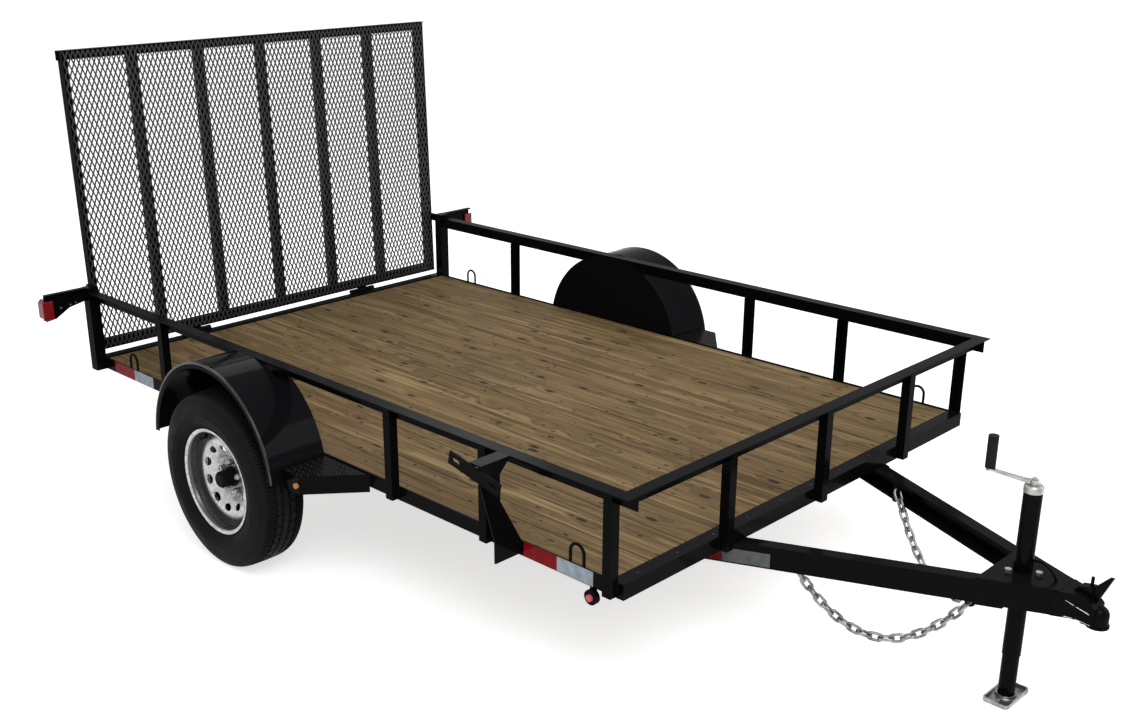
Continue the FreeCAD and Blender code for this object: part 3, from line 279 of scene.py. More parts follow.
class Finish(Nodes):
    """A material, with short ways to set its shader."""

    def __init__(self, name):
        self.material = bpy.data.materials.new(name)
        self.material.use_nodes = True
        super().__init__(self.material.node_tree)
        self.shader = self.tree.nodes["Principled BSDF"]

    def surface(self, **sockets):
        """Sets or links the shader's sockets, named with underscores for spaces."""
        for key, value in sockets.items():
            self.feed(self.shader.inputs[key.replace("_", " ")], value)

    def bump(self, height, strength, distance):
        inputs = {"Height": height, "Strength": strength, "Distance": distance}
        self.surface(Normal=self.node("Bump", inputs).outputs["Normal"])


def new_effect(name, output, **inputs):
    """Starts a node group with one output, and gives its nodes, its inputs and that output."""
    tree = bpy.data.node_groups.new(name, "ShaderNodeTree")
    for label, default in inputs.items():
        socket = tree.interface.new_socket(
            name=label, in_out="INPUT", socket_type="NodeSocketFloat")
        socket.default_value = default
    tree.interface.new_socket(name=output, in_out="OUTPUT", socket_type="NodeSocketFloat")
    given = tree.nodes.new("NodeGroupInput").outputs
    return Nodes(tree), given, tree.nodes.new("NodeGroupOutput").inputs[output]


def make_effects():
    """The effects that several finishes share: ripple, grime, scuffs and dust on top faces."""
    nodes, given, result = new_effect("ripple", "Height", Scale=300.0, Detail=2.0)
    nodes.feed(result, nodes.noise(nodes.place(), given["Scale"], given["Detail"]))

    nodes, given, result = new_effect("grime", "Mask", Scale=6.0, Low=0.42, High=0.70)
    clouds = nodes.noise(nodes.place(), given["Scale"], 6.0, 0.62)
    nodes.feed(result, nodes.range(clouds, 0.0, 1.0, given["Low"], given["High"]))

    nodes, given, result = new_effect("scuffs", "Mask", Scale=40.0, Amount=0.5)
    drawn_out = nodes.vector("MULTIPLY", nodes.place(), (0.15, 1.0, 1.0))[0]
    marks = nodes.noise(drawn_out, given["Scale"], 8.0)
    nodes.feed(result, nodes.range(marks, 0.0, given["Amount"], 0.60, 0.72))

    nodes, given, result = new_effect("upward_dust", "Mask", Scale=9.0, Amount=0.5)
    normal = nodes.node("SeparateXYZ", {0: nodes.node("NewGeometry").outputs["Normal"]}).outputs
    patches = nodes.noise(nodes.place(), given["Scale"], 5.0)
    lying = nodes.math("MULTIPLY", nodes.range(normal["Z"], 0.0, 1.0, 0.5), patches)
    nodes.feed(result, nodes.math("MULTIPLY", lying, given["Amount"]))


def axle_radius(finish):
    """The distance of each point of a wheel from its axle."""
    apart = finish.vector("SUBTRACT", finish.place(), AXLE)[0]
    flat = finish.vector("MULTIPLY", apart, (1.0, 0.0, 1.0))[0]
    return finish.vector("LENGTH", flat)["Value"]


def paint_finish(name, colour, roughness, dust=0.08, worn=0.2, coat=0.06, coat_roughness=0.12):
    """Gloss enamel on steel: a slight ripple, dull patches, dust and light scuffs."""
    finish = Finish(name)
    scuffs = finish.effect("scuffs", Scale=55.0, Amount=worn)
    dust_and_shade = finish.effect("upward_dust", Scale=7.0, Amount=dust)
    grime = finish.effect("grime", Scale=5.0, Low=0.40, High=0.75)
    dull = finish.range(grime, roughness, roughness + 0.14)
    base = finish.mix_colour(scuffs, colour, shade(colour, 2.2, 0.004))
    finish.surface(
        Base_Color=finish.mix_colour(dust_and_shade, base, DUST),
        Roughness=finish.math("ADD", dull, finish.math("MULTIPLY", dust_and_shade, 0.3)),
        Specular_IOR_Level=0.006, Coat_Weight=coat, Coat_Roughness=coat_roughness)
    finish.bump(finish.effect("ripple", Scale=420.0, Detail=2.0), 0.10, 0.0006)
    return finish.material


def wheel_finish(name, colour):
    """Silver wheel enamel, mottled, with painted shade in the rim's gutter and round the hub."""
    finish = Finish(name)
    radius = axle_radius(finish)
    mottle = finish.effect("grime", Scale=70.0, Low=0.36, High=0.66)
    base = finish.mix_colour(mottle, colour, shade(colour, 0.62))
    past_disc = finish.range(radius, 0.0, 1.0, 0.1632, 0.1636)
    # Two dark rings in the rim's gutter are painted shade.
    for shade_outer, spread, dark in ((0.1860, 0.0025, 0.15), (0.1780, 0.0020, 0.03)):
        dust_and_shade = finish.range(radius, 1.0, 0.0, shade_outer, shade_outer + spread)
        gutter = finish.math("MULTIPLY", past_disc, dust_and_shade)
        base = finish.mix_colour(gutter, base, shade(colour, dark))
    # The darkening of the disc round the hub is painted shade.
    hub_shade = finish.range(radius, 0.75, 0.0, 0.066, 0.086)
    finish.surface(
        Base_Color=finish.mix_colour(hub_shade, base, shade(colour, 0.12)),
        Roughness=finish.range(mottle, 0.22, 0.42), Metallic=0.85)
    finish.bump(finish.effect("ripple", Scale=420.0, Detail=3.0), 0.25, 0.0006)
    return finish.material


def metal_finish(name, colour, roughness, spangle=0.3):
    """Bare or plated metal with cloudy patches."""
    finish = Finish(name)
    clouds = finish.effect("grime", Scale=30.0, Low=0.35, High=0.72)
    finish.surface(
        Base_Color=finish.mix_colour(clouds, colour, shade(colour, 1.0 - spangle)),
        Roughness=finish.range(clouds, roughness, roughness + 0.2), Metallic=1.0)
    finish.bump(finish.effect("ripple", Scale=700.0, Detail=3.0), 0.15, 0.0004)
    return finish.material


def rubber_finish(name, colour, ringed=False):
    """Dull rubber, with the fine moulded rings of a sidewall where it is ringed."""
    finish = Finish(name)
    grime = finish.effect("grime", Scale=14.0, Low=0.38, High=0.75)
    base = finish.mix_colour(grime, colour, shade(colour, 1.6, 0.004))
    height = finish.effect("ripple", Scale=900.0, Detail=3.0)
    if ringed:
        inputs = {"W": axle_radius(finish), "Scale": 420.0, "Detail": 2.0}
        rings = finish.node("TexNoise", inputs, noise_dimensions="1D").outputs["Fac"]
        raised = finish.range(rings, 0.0, 1.0, 0.40, 0.62)
        base = finish.mix_colour(raised, base, shade(colour, 2.0, 0.003))
        height = finish.math("ADD", height, finish.math("MULTIPLY", raised, 1.6))
    finish.surface(
        Base_Color=base, Roughness=finish.range(grime, 0.50, 0.74), Specular_IOR_Level=0.04)
    finish.bump(height, 0.25, 0.0007)
    return finish.material


def lens_finish(name, colour, glow):
    """Moulded lens plastic, with fine prisms."""
    finish = Finish(name)
    prisms = finish.cells(finish.place(), 260.0)["Distance"]
    finish.surface(
        Base_Color=finish.mix_colour(prisms, colour, shade(colour, 0.55)),
        Roughness=finish.range(prisms, 0.10, 0.24), Specular_IOR_Level=0.2,
        Coat_Weight=0.3, Coat_Roughness=0.06,
        Emission_Color=(*colour, 1.0), Emission_Strength=glow)
    finish.bump(prisms, 0.25, 0.0008)
    return finish.material


def tape_finish(name, colour):
    """Retroreflective tape: a fine cell pattern under a clear face."""
    finish = Finish(name)
    cells = finish.cells(finish.place(), 330.0, feature="DISTANCE_TO_EDGE")["Distance"]
    edge = finish.range(cells, 1.0, 0.0, 0.02, 0.09)
    mottle = finish.effect("grime", Scale=45.0, Low=0.38, High=0.66)
    base = finish.mix_colour(mottle, colour, shade(colour, 0.55))
    finish.surface(
        Base_Color=finish.mix_colour(edge, base, shade(colour, 0.72)),
        Roughness=finish.range(edge, 0.26, 0.44), Specular_IOR_Level=0.03,
        Coat_Weight=0.06, Coat_Roughness=0.08)
    finish.bump(cells, 0.15, 0.0004)
    return finish.material


def plank_finish(name, light, dark):
    """Treated pine: every plank has its own grain, tint, knots and dark streaks."""
    finish = Finish(name)
    spot = finish.node("SeparateXYZ", {0: finish.place()}).outputs
    from_side = finish.math("SUBTRACT", spot["Y"], DECK_LOW.y)
    number = finish.math("FLOOR", finish.math("DIVIDE", from_side, BOARD_PITCH))
    own = finish.node("TexWhiteNoise", {"W": number}, noise_dimensions="1D").outputs["Value"]
    shifted = finish.math("ADD", spot["X"], finish.math("MULTIPLY", own, 37.0))
    moved = finish.node("CombineXYZ", {"X": shifted, "Y": spot["Y"], "Z": spot["Z"]}).outputs[0]

    def stretched(*factors):
        return finish.vector("MULTIPLY", moved, factors)[0]

    def streaks(along, across, detail, distortion=0.0):
        return finish.noise(stretched(along, across, across), 1.0, detail, distortion=distortion)

    def knots(along, across, size):
        """The mask of one size of knot, and the distance from the nearest middle."""
        cells = finish.cells(stretched(along, across, 1.0), 1.0, voronoi_dimensions="2D")
        drawn = finish.node("SeparateColor", {0: cells["Color"]}).outputs[0]
        limit = finish.range(drawn, 0.0, size, 0.45, 0.85)
        inside = finish.math("SUBTRACT", limit, cells["Distance"])
        return finish.range(inside, 0.0, 1.0, 0.0, size * 0.25), cells["Distance"]

    heart, distance = knots(4.2, 10.0, 0.115)
    speck = knots(8.0, 20.0, 0.105)[0]
    around_heart = finish.range(distance, 1.0, 0.0, 0.0, 0.36)
    push = finish.node("CombineXYZ", {"Y": finish.math("MULTIPLY", around_heart, 2.2)}).outputs[0]
    bent = finish.vector("ADD", stretched(1.3, 24.0, 24.0), push)[0]
    rings = finish.range(finish.noise(bent, 1.0, 5.0, distortion=0.6), 0.0, 1.0, 0.36, 0.64)
    fibre = streaks(5.0, 240.0, 3.0)
    lines = finish.range(streaks(1.5, 62.0, 3.0, 0.3), 0.0, 0.85, 0.57, 0.70)
    pale = finish.range(streaks(1.1, 48.0, 3.0, 0.3), 0.0, 0.8, 0.55, 0.72)
    blotch = finish.range(streaks(1.6, 3.6, 3.0), 0.0, 1.0, 0.38, 0.66)
    ruddy = (dark[0] * 1.12, dark[1] * 0.92, dark[2] * 0.80)
    base = light
    for mask, tint in (
            (rings, dark),
            (finish.math("MULTIPLY", blotch, 0.55), ruddy),
            (finish.range(own, 0.0, 0.35), shade(light, 0.66)),
            (pale, shade(light, 1.42)),
            (finish.range(fibre, 0.0, 0.45, 0.42, 0.75), shade(dark, 0.45)),
            (lines, shade(dark, 0.38)),
            (finish.math("MULTIPLY", around_heart, 0.35), shade(dark, 0.7)),
            (finish.math("MULTIPLY", heart, 0.9), shade(dark, 0.16)),
            (finish.math("MULTIPLY", speck, 0.9), shade(dark, 0.16))):
        base = finish.mix_colour(mask, base, tint)
    finish.surface(
        Base_Color=base, Roughness=finish.range(fibre, 0.68, 0.90), Specular_IOR_Level=0.15)
    finish.bump(finish.math("ADD", finish.math("MULTIPLY", fibre, 0.6), rings), 0.35, 0.0012)
    return finish.material


def make_finishes(colours):
    make_effects()
    paint, wood, grain, wheel, rubber = (
        tuple(getattr(colours, name)) for name in ("paint", "wood", "grain", "wheel", "rubber"))
    # Name, colour, roughness, dust, wear, coat and the coat's roughness.
    enamels = {
        "paint": ("black_enamel", paint, 0.22),
        "fender": ("black_enamel_fender", (0.0050, 0.0050, 0.0062), 0.10, 0.03, 0.1, 0.05, 0.04),
        "roll": ("black_enamel_rolled_edge", paint, 0.10, 0.0, 0.0, 1.0, 0.05),
        "rail": ("black_enamel_rail", paint, 0.24, 0.06, 0.2, 0.045),
        "gate": ("black_enamel_gate", paint, 0.30, 0.05),
        # The mesh's enamel is lighter than the other black paint: a painted reflection of the sky.
        "mesh": ("black_enamel_mesh", (0.042, 0.042, 0.044), 0.35, 0.05, 0.2, 0.35, 0.30),
        "tread": ("black_enamel_step", (0.016, 0.016, 0.017), 0.42, 0.4, 0.9, 0.25, 0.25),
        "hub": ("hub_black", (0.006, 0.006, 0.006), 0.34),
    }
    finishes = {key: paint_finish(*values) for key, values in enamels.items()}
    finishes.update({
        "zinc": metal_finish("zinc_plate", (0.52, 0.52, 0.50), 0.30, 0.62),
        "chain": metal_finish("bright_chain", (0.40, 0.40, 0.39), 0.30, 0.85),
        "screw": metal_finish("screw_steel", (0.055, 0.042, 0.026), 0.5),
        "silver": wheel_finish("wheel_silver", wheel),
        "rubber": rubber_finish("tyre_rubber", rubber, True),
        "grip": rubber_finish("grip_black", (0.012, 0.012, 0.012)),
        "red": lens_finish("red_lens", (0.25, 0.006, 0.008), 0.04),
        "rose": lens_finish("rose_lens", (0.70, 0.10, 0.13), 0.08),
        "amber": lens_finish("amber_lens", (0.62, 0.20, 0.02), 0.06),
        "red_tape": tape_finish("red_tape", (0.29, 0.005, 0.009)),
        "white_tape": tape_finish("white_tape", (0.42, 0.48, 0.55)),
        # The tongue's tapes are darker copies of the frame's tapes: painted shade and dirt.
        "grey_tape": tape_finish("grey_tape", (0.135, 0.145, 0.150)),
        "dull_red_tape": tape_finish("dull_red_tape", (0.16, 0.006, 0.010)),
        "plank": plank_finish("plank_wood", wood, grain),
    })
    return finishes


class TrailerColours(bpy.types.PropertyGroup):
    paint: bpy.props.FloatVectorProperty(
        name="Paint", description="Enamel on the steel", subtype="COLOR",
        default=(0.0026, 0.0026, 0.0031))
    wood: bpy.props.FloatVectorProperty(
        name="Wood", description="Light wood of the planks", subtype="COLOR",
        default=(0.290, 0.200, 0.092))
    grain: bpy.props.FloatVectorProperty(
        name="Grain", description="Darker rings of the planks", subtype="COLOR",
        default=(0.110, 0.072, 0.031))
    wheel: bpy.props.FloatVectorProperty(
        name="Wheel", description="Silver paint of the wheels", subtype="COLOR",
        default=(0.60, 0.60, 0.59))
    rubber: bpy.props.FloatVectorProperty(
        name="Rubber", description="Tyre rubber", subtype="COLOR",
        default=(0.0042, 0.0042, 0.0047))


class TrailerSizes(bpy.types.PropertyGroup):
    plank_gap: bpy.props.FloatProperty(
        name="Plank gap", description="Widest half of a gap between planks", unit="LENGTH",
        default=0.0016)
    plank_edge: bpy.props.FloatProperty(
        name="Plank edge", description="Rounding along a plank's edges", unit="LENGTH",
        default=0.0015)
    diamond_width: bpy.props.FloatProperty(
        name="Diamond width", description="Width of a diamond in the gate's mesh", unit="LENGTH",
        default=0.0225)
    diamond_height: bpy.props.FloatProperty(
        name="Diamond height", description="Height of a diamond in the gate's mesh",
        unit="LENGTH", default=0.050)
    strand: bpy.props.FloatProperty(
        name="Strand", description="Width of the mesh's strands", unit="LENGTH", default=0.0055)
    groove: bpy.props.FloatProperty(
        name="Tread groove", description="Depth of the tyre's grooves", unit="LENGTH",
        default=0.007)
    link_wire: bpy.props.FloatProperty(
        name="Chain wire", description="Thickness of the chain's wire", unit="LENGTH",
        default=0.0092)


class TRAILER_OT_finishes(bpy.types.Operator):
    """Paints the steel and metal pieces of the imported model"""
    bl_idname = "trailer.finishes"
    bl_label = "Finishes"

    def execute(self, context):
        FINISHES.update(make_finishes(context.scene.trailer_colours))
        for finish, nodes in PAINTED.items():
            for name in nodes:
                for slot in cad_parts[name].material_slots:
                    slot.material = FINISHES[finish]
        return {"FINISHED"}


class TRAILER_OT_planks(bpy.types.Operator):
    """Lays the bed's planks and their screws"""
    bl_idname = "trailer.planks"
    bl_label = "Planks"

    def execute(self, context):
        sizes = context.scene.trailer_sizes
        draw = random.Random(11)
        end_play, uneven, bow, steps = 0.0005, 0.0012, 0.0003, 24
        length = DECK_HIGH.x - DECK_LOW.x - 2 * end_play
        seams = [sizes.plank_gap * draw.choice((0.2, 0.3, 0.4, 1.0)) for _ in range(BOARDS + 1)]
        seams[0], seams[BOARDS] = 0.0, BOARD_GAP
        planks = Shape()
        for number in range(BOARDS):
            y0 = DECK_LOW.y + number * BOARD_PITCH + seams[number]
            y1 = DECK_LOW.y + (number + 1) * BOARD_PITCH - seams[number + 1]
            top = DECK_HIGH.z - draw.uniform(0.0, uneven)
            rings = []
            for step in range(steps + 1):
                x = DECK_LOW.x + end_play + length * step / steps
                crown = draw.uniform(-bow, 0.0)
                rings.append([(x, y0, DECK_LOW.z), (x, y1, DECK_LOW.z), (x, y1, top + crown),
                              (x, (y0 + y1) / 2, top + crown * 0.5), (x, y0, top + crown)])
            planks.loft(rings)
        piece = planks.make("deck_planks", "plank", "chassis", bevel=sizes.plank_edge)
        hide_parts("deck_boards")

        screws = Shape()
        head = [(0, 0.8), (2.2, 0.8), (3.4, 1.2), (4.6, 0.6), (5, -1.2)]
        bays, past_member, pair, from_end = 6, 0.02, 0.060, 0.022
        bay = (FRAME_HIGH.x - FRAME_LOW.x) / bays
        for number in range(BOARDS):
            middle = DECK_LOW.y + (number + 0.5) * BOARD_PITCH - BOARD_GAP / 2
            spots = []
            for k in range(1, bays):
                for side in (-pair, pair):
                    x = FRAME_LOW.x + bay * k + past_member + draw.uniform(-0.004, 0.004)
                    y = middle + side + draw.uniform(-0.005, 0.005)
                    spots.append((x, y, DECK_HIGH.z - 0.0008))
            for x in (FRAME_HIGH.x - from_end, FRAME_LOW.x + from_end):
                spots.append((x, middle + draw.uniform(-0.003, 0.003), FRAME_HIGH.z + 0.0002))
            for spot in spots:
                screws.lathe(head, 10, Matrix.Translation(spot), closed=False)
        piece = screws.make("deck_screws", "screw", "chassis")
        return {"FINISHED"}


class TRAILER_OT_gate_mesh(bpy.types.Operator):
    """Weaves the gate's expanded metal, strand by strand"""
    bl_idname = "trailer.gate_mesh"
    bl_label = "Gate mesh"

    def execute(self, context):
        sizes = context.scene.trailer_sizes
        lean = turned(GATE_LEAN, "Y", GATE_HINGE) @ Matrix.Translation(-GATE_HINGE)
        half_width, low, high = 0.9565, 0.4995, 1.7505
        face_x = at(-3057.0, 0, 0).x
        half_thick, front_play, lap = 0.0018, 0.0001, 0.2
        back_slant, front_slant = 0.0006, 0.00012
        columns = 2 * round(2 * half_width / sizes.diamond_width)
        rows = 2 * round((high - low) / sizes.diamond_height)
        step_y = 2 * half_width / columns
        step_z = (high - low) / rows
        half = sizes.strand / 2
        mesh = Shape()
        for column in range(columns):
            rings = []
            for row in range(rows + 1):
                far = (column + row) % 2
                toward = 1 if far else -1
                y = -half_width + column * step_y + step_y * far - toward * half * lap
                z = low + row * step_z
                back = face_x - half_thick + toward * back_slant
                front = face_x + half_thick - front_play + toward * front_slant
                rings.append([(back, y - half, z), (front, y - half, z),
                              (front, y + half, z), (back, y + half, z)])
            mesh.loft(rings, place=lean)
        piece = mesh.make("gate_expanded_metal", "mesh", "gate", smooth=20)
        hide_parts("gate_mesh")
        return {"FINISHED"}


def wheel_place(sign):
    """Local Z points outboard from the middle of the wheel."""
    return turned(-QUARTER * sign, "X", (AXLE.x, sign * AXLE.y, AXLE.z))


class TRAILER_OT_tyres(bpy.types.Operator):
    """Moulds the tyres, with grooved treads and plain sidewalls"""
    bl_idname = "trailer.tyres"
    bl_label = "Tyres"

    def execute(self, context):
        groove = context.scene.trailer_sizes.groove / MM
        sidewall = [
            (185.5, 73.5), (201, 75), (206, 79), (212, 85), (216, 86.2), (218.5, 88.2),
            (224, 92.5), (232, 96), (240, 97.8), (250, 99.4), (251.5, 100), (257, 100),
            (258.5, 99.4), (270, 98.8), (280, 96.8), (290, 93.8), (296, 92.5), (297.5, 90.5),
            (304, 88), (311, 85.5), (318, 81.8), (324, 77)]
        plain, shoulder, wall, rib = range(4)
        tread = [
            (326.8, 71.5, shoulder), (329, 64, shoulder), (330, 56, shoulder),
            (330.5, 50, shoulder), (330.8, 47, wall), (330.8 - groove, 45.5, wall),
            (330.8 - groove, 40.5, wall), (331, 39, rib), (331.4, 30, rib), (331.6, 22, rib),
            (331.6, 19, wall), (331.6 - groove, 17.5, wall), (331.6 - groove, 12.5, wall),
            (331.8, 11, plain), (332, 4, plain)]
        half = [(radius, height, plain) for radius, height in sidewall] + tread
        seat = [(185, 60, plain), (185, -60, plain)]
        section = [(radius, -height, kind) for radius, height, kind in half] + half[::-1] + seat
        block, zigzag = 3, 2.2
        shoulder_cut, rib_cut = groove * 0.75, groove * 0.45
        for label, sign in SIDES:
            rings = []
            for step, turn in enumerate(turns(144 * block)):
                swing = zigzag if step // block % 2 else -zigzag
                ring = []
                for radius, height, kind in section:
                    if kind == shoulder and step % block == 0:
                        radius -= shoulder_cut
                    if kind == rib and step % (3 * block) == 0:
                        radius -= rib_cut
                    if kind == wall:
                        height += swing
                    ring.append(around(radius * MM, turn, height * MM))
                rings.append(ring)
            tyre = Shape()
            tyre.loft(rings, place=wheel_place(sign), looped=True)
            piece = tyre.make("tyre_tread_" + label, "rubber", "wheel_" + label, smooth=28)
            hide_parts("tyre_" + label)
        return {"FINISHED"}


# Sections of the wheel in millimetres, as radius and height from its middle plane.
RIM_SECTION = (
    (196, 81), (200, 80.5), (201, 78.5), (200.5, 76.5), (190, 75.2), (185, 73.5), (184.5, 42),
    (170, 32), (169, -32), (184.5, -42), (185, -73.5), (190, -75.2), (200.5, -76.5), (201, -78.5),
    (200, -80.5), (196, -81), (190, -79), (183, -74), (181, -64), (180, -44), (164, -32),
    (163.5, 30), (179, 43), (180.5, 60), (182.5, 72), (189, 78.5))
DISC_FRONT = (
    (163.2, 13), (163.2, 29), (161.2, 33), (156, 36.6), (148, 39.2), (138, 40), (126, 37.4),
    (114, 33.2), (102, 28.4), (92, 23.8), (86, 18.6), (80, 10.8), (75, 6.4), (70, 5), (38, 5))
HUB_SECTION = (
    (0, 64), (13, 64), (24, 63.2), (27.5, 60), (28.5, 56), (31, 54.5), (31.5, 15), (33, 12),
    (38, 10.5), (38.5, 5.2), (37, -10), (70, -10), (70, -0.2), (38.4, -0.2), (35.5, -76),
    (20, -76), (19.6, 5.5), (0, 5.5))
# A nut's crown and flanks have six sides, and the stud's end is round.
NUT_SECTIONS = (
    (((0, 20.5), (6.5, 20.5), (9.5, 18.5)), 6),
    (((9.5, 18.5), (11.5, 16.5), (11.5, 3.5), (9.5, 0)), 6),
    (((0, 26.2), (3, 26), (6, 24.5), (6, 20)), 12))


class TRAILER_OT_wheels(bpy.types.Operator):
    """Spins the wheels, pierces their discs and adds hubs, nuts and valves"""
    bl_idname = "trailer.wheels"
    bl_label = "Wheels"

    def execute(self, context):
        sheet, flange_sheet, taper = 4.5, 4.0, 0.6
        flange_radius, flange_height = 150, 30
        back = []
        for radius, height in reversed(DISC_FRONT):
            on_flange = radius > flange_radius and height < flange_height
            back.append((radius - (flange_sheet if on_flange else taper), height - sheet))
        holes, hole_circle, hole_radius, hole_depth = 10, 0.1160, 16.5, 60
        nuts_number, nut_circle, nut_height, first_nut = 5, 0.05715, 0.0042, 0.3
        oval = Matrix.Diagonal((0.82, 1.18, 1.0, 1.0))
        hole = [(0, 0), (hole_radius, 0), (hole_radius, hole_depth), (0, hole_depth)]
        for label, sign in SIDES:
            place = wheel_place(sign)
            body = "wheel_" + label
            rim = Shape()
            rim.lathe(RIM_SECTION, 96, place)
            piece = rim.make("rim_" + label, "silver", body, smooth=40)

            disc = Shape()
            disc.lathe([*DISC_FRONT, *back], 144, place)
            piece = disc.make("disc_" + label, "silver", body, smooth=40)
            punch = Shape()
            for turn in turns(holes, 0.5):
                spot = turned(turn, "Z", around(hole_circle, turn)) @ oval
                punch.lathe(hole, 24, place @ spot, closed=False)
            cutter = punch.make("punch_" + label, "silver", body)
            cut = piece.modifiers.new("holes", "BOOLEAN")
            cut.operation = "DIFFERENCE"
            cut.solver = "EXACT"
            cut.object = cutter
            settle(piece)
            bpy.data.objects.remove(cutter)
            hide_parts("wheel_rim_" + label)

            hub = Shape()
            hub.lathe(HUB_SECTION, 48, place, closed=False)
            piece = hub.make("hub_" + label, "hub", body)

            nuts = Shape()
            for turn in turns(nuts_number):
                spot = Matrix.Translation(around(nut_circle, turn + first_nut, nut_height))
                for section, sides in NUT_SECTIONS:
                    nuts.lathe(section, sides, place @ spot, closed=False)
            piece = nuts.make("wheel_nuts_" + label, "zinc", body, smooth=30)
            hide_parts("wheel_hub_" + label)

            valve = Shape()
            valve_turn = 2.2
            root, tip = around(0.1700, valve_turn, 0.0380), around(0.1660, valve_turn, 0.0680)
            radii = [0.0075, 0.0060, 0.0042, 0.0040, 0.0046, 0.0044]
            valve.tube([root.lerp(tip, k / 5) for k in range(6)], radii, 10, place=place)
            piece = valve.make("valve_" + label, "grip", body)
        return {"FINISHED"}


def settle(piece):
    """Applies a piece's modifiers to its mesh."""
    ready = piece.evaluated_get(bpy.context.evaluated_depsgraph_get())
    mesh = bpy.data.meshes.new_from_object(ready)
    piece.modifiers.clear()
    piece.data = mesh
    mesh.shade_smooth()
    mesh.set_sharp_from_angle(angle=EDGE_ANGLE)


def chain_stations():
    """The points where neighbouring links of the right-hand chain meet, and their spacing."""
    lug_reach = 49.0 / math.cos(TONGUE_ANGLE)
    rear, front = (at(x, lug_reach - (TONGUE_APEX_X - x) * math.tan(TONGUE_ANGLE), z)
                   for x, z in ((62.0, 395.0), (560.0, 321.0)))
    sag, link_pitch, steps = 0.203, 0.0312, 2000
    points = []
    for step in range(steps + 1):
        share = step / steps
        spot = rear.lerp(front, share)
        spot.z -= 4 * sag * share * (1 - share)
        points.append(spot)
    lengths = [(after - before).length for before, after in zip(points, points[1:])]
    count = int(sum(lengths) / link_pitch)
    count -= 1 - count % 2
    spacing = sum(lengths) / count
    stations = [points[0]]
    travelled = 0.0
    for length, point in zip(lengths, points[1:]):
        travelled += length
        if travelled >= spacing * len(stations) and len(stations) < count:
            stations.append(point)
    return stations + [points[-1]], spacing


class TRAILER_OT_chains(bpy.types.Operator):
    """Forges the safety chains, link by link"""
    bl_idname = "trailer.chains"
    bl_label = "Safety chains"

    def execute(self, context):
        wire = context.scene.trailer_sizes.link_wire / 2
        stations, spacing = chain_stations()
        inner_bend, slack, arc_steps = 0.0068, 0.0009, 8
        bend = inner_bend + wire
        straight = spacing / 2 + slack + wire - bend
        link = []
        for side in (1, -1):
            for k in range(arc_steps + 1):
                turn = math.pi * (k / arc_steps) - side * QUARTER
                link.append((side * straight + bend * math.cos(turn), bend * math.sin(turn), 0))
        for label, sign in SIDES:
            chain = Shape()
            mirror = Vector((1, -sign, 1))
            for number in range(len(stations) - 1):
                start, end = stations[number] * mirror, stations[number + 1] * mirror
                ahead = (end - start).normalized()
                across = Vector((0, 0, 1)).cross(ahead).normalized()
                if number % 2:
                    across = ahead.cross(across).normalized()
                place = facing(ahead, across, ahead.cross(across), (start + end) / 2)
                chain.tube(link, wire, 8, closed=True, place=place)
            piece = chain.make("chain_links_" + label, "chain", "chassis", smooth=60)
            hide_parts("safety_chain_" + label)
        return {"FINISHED"}


class TRAILER_OT_tapes(bpy.types.Operator):
    """Sticks the red and white reflective tapes on"""
    bl_idname = "trailer.tapes"
    bl_label = "Reflective tapes"

    def execute(self, context):
        thick, margin, seam = 0.0005, 0.0015, 0.001
        low, high = FRAME_LOW.z + margin, FRAME_HIGH.z - margin
        red, white, shaded_white, shaded_red = range(4)
        on_frame = ((-455, -316, red), (-315, -170, white),
                    (-2929, -2767, red), (-2766, -2617, white))
        # The tongue's tapes are darker copies of the frame's tapes: painted shade and dirt.
        on_tongue = ((-1.150, -1.100, shaded_red), (-1.100, -0.948, shaded_white))
        tapes = Shape()
        for sign in (-1, 1):
            y0, y1 = sorted((-sign * FRAME_LOW.y, sign * (thick - FRAME_LOW.y)))
            for x0, x1, slot in on_frame:
                tapes.box((at(x0, 0, 0).x, y0, low), (at(x1, 0, 0).x, y1, high), slot)
            place = turned(-sign * TONGUE_ANGLE, "Z", at(TONGUE_APEX_X, 0, 0))
            y0, y1 = sorted((0.0, sign * thick))
            for x0, x1, slot in on_tongue:
                tapes.box((x0, y0, 0.356), (x1 - seam, y1, 0.402), slot, place)
        piece = tapes.make("reflective_tapes", "red_tape white_tape grey_tape dull_red_tape",
                           "chassis")
        return {"FINISHED"}


class TRAILER_OT_step_grip(bpy.types.Operator):
    """Raises the grip pattern on the fender steps"""
    bl_idname = "trailer.step_grip"
    bl_label = "Step grip"

    def execute(self, context):
        pitch, inner_y, outer_y, margin = 0.013, 0.970, 1.152, 0.006
        front_slope, front_margin, fender_reach = 154.0 / 185.0, 0.009, 0.388
        base = [(-0.0048, 0, 0), (0, -0.0016, 0), (0.0048, 0, 0), (0, 0.0016, 0)]
        crest = [(-0.0028, 0, 0.0011), (0, -0.0006, 0.0012), (0.0028, 0, 0.0011),
                 (0, 0.0006, 0.0012)]
        for label, sign in SIDES:
            low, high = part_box("step_" + label)
            grip = Shape()
            for column in range(int((high.x - low.x) / pitch)):
                for row in range(int((high.y - low.y) / pitch)):
                    x = low.x + (column + 0.5) * pitch
                    y = inner_y + (row + 0.5 + 0.5 * (column % 2)) * pitch
                    front = high.x - (y - inner_y + 0.003) * front_slope
                    reach = math.hypot(x - FENDER_CENTRE.x, high.z - FENDER_CENTRE.z)
                    if x > front - front_margin or y > outer_y - margin or reach < fender_reach:
                        continue
                    turn = QUARTER / 2 if (column + row) % 2 else -QUARTER / 2
                    place = turned(turn, "Z", (x, sign * y, high.z - 0.0001))
                    grip.loft([base, crest], place=place)
            piece = grip.make("step_grip_" + label, "tread", "chassis", smooth=50)
        return {"FINISHED"}


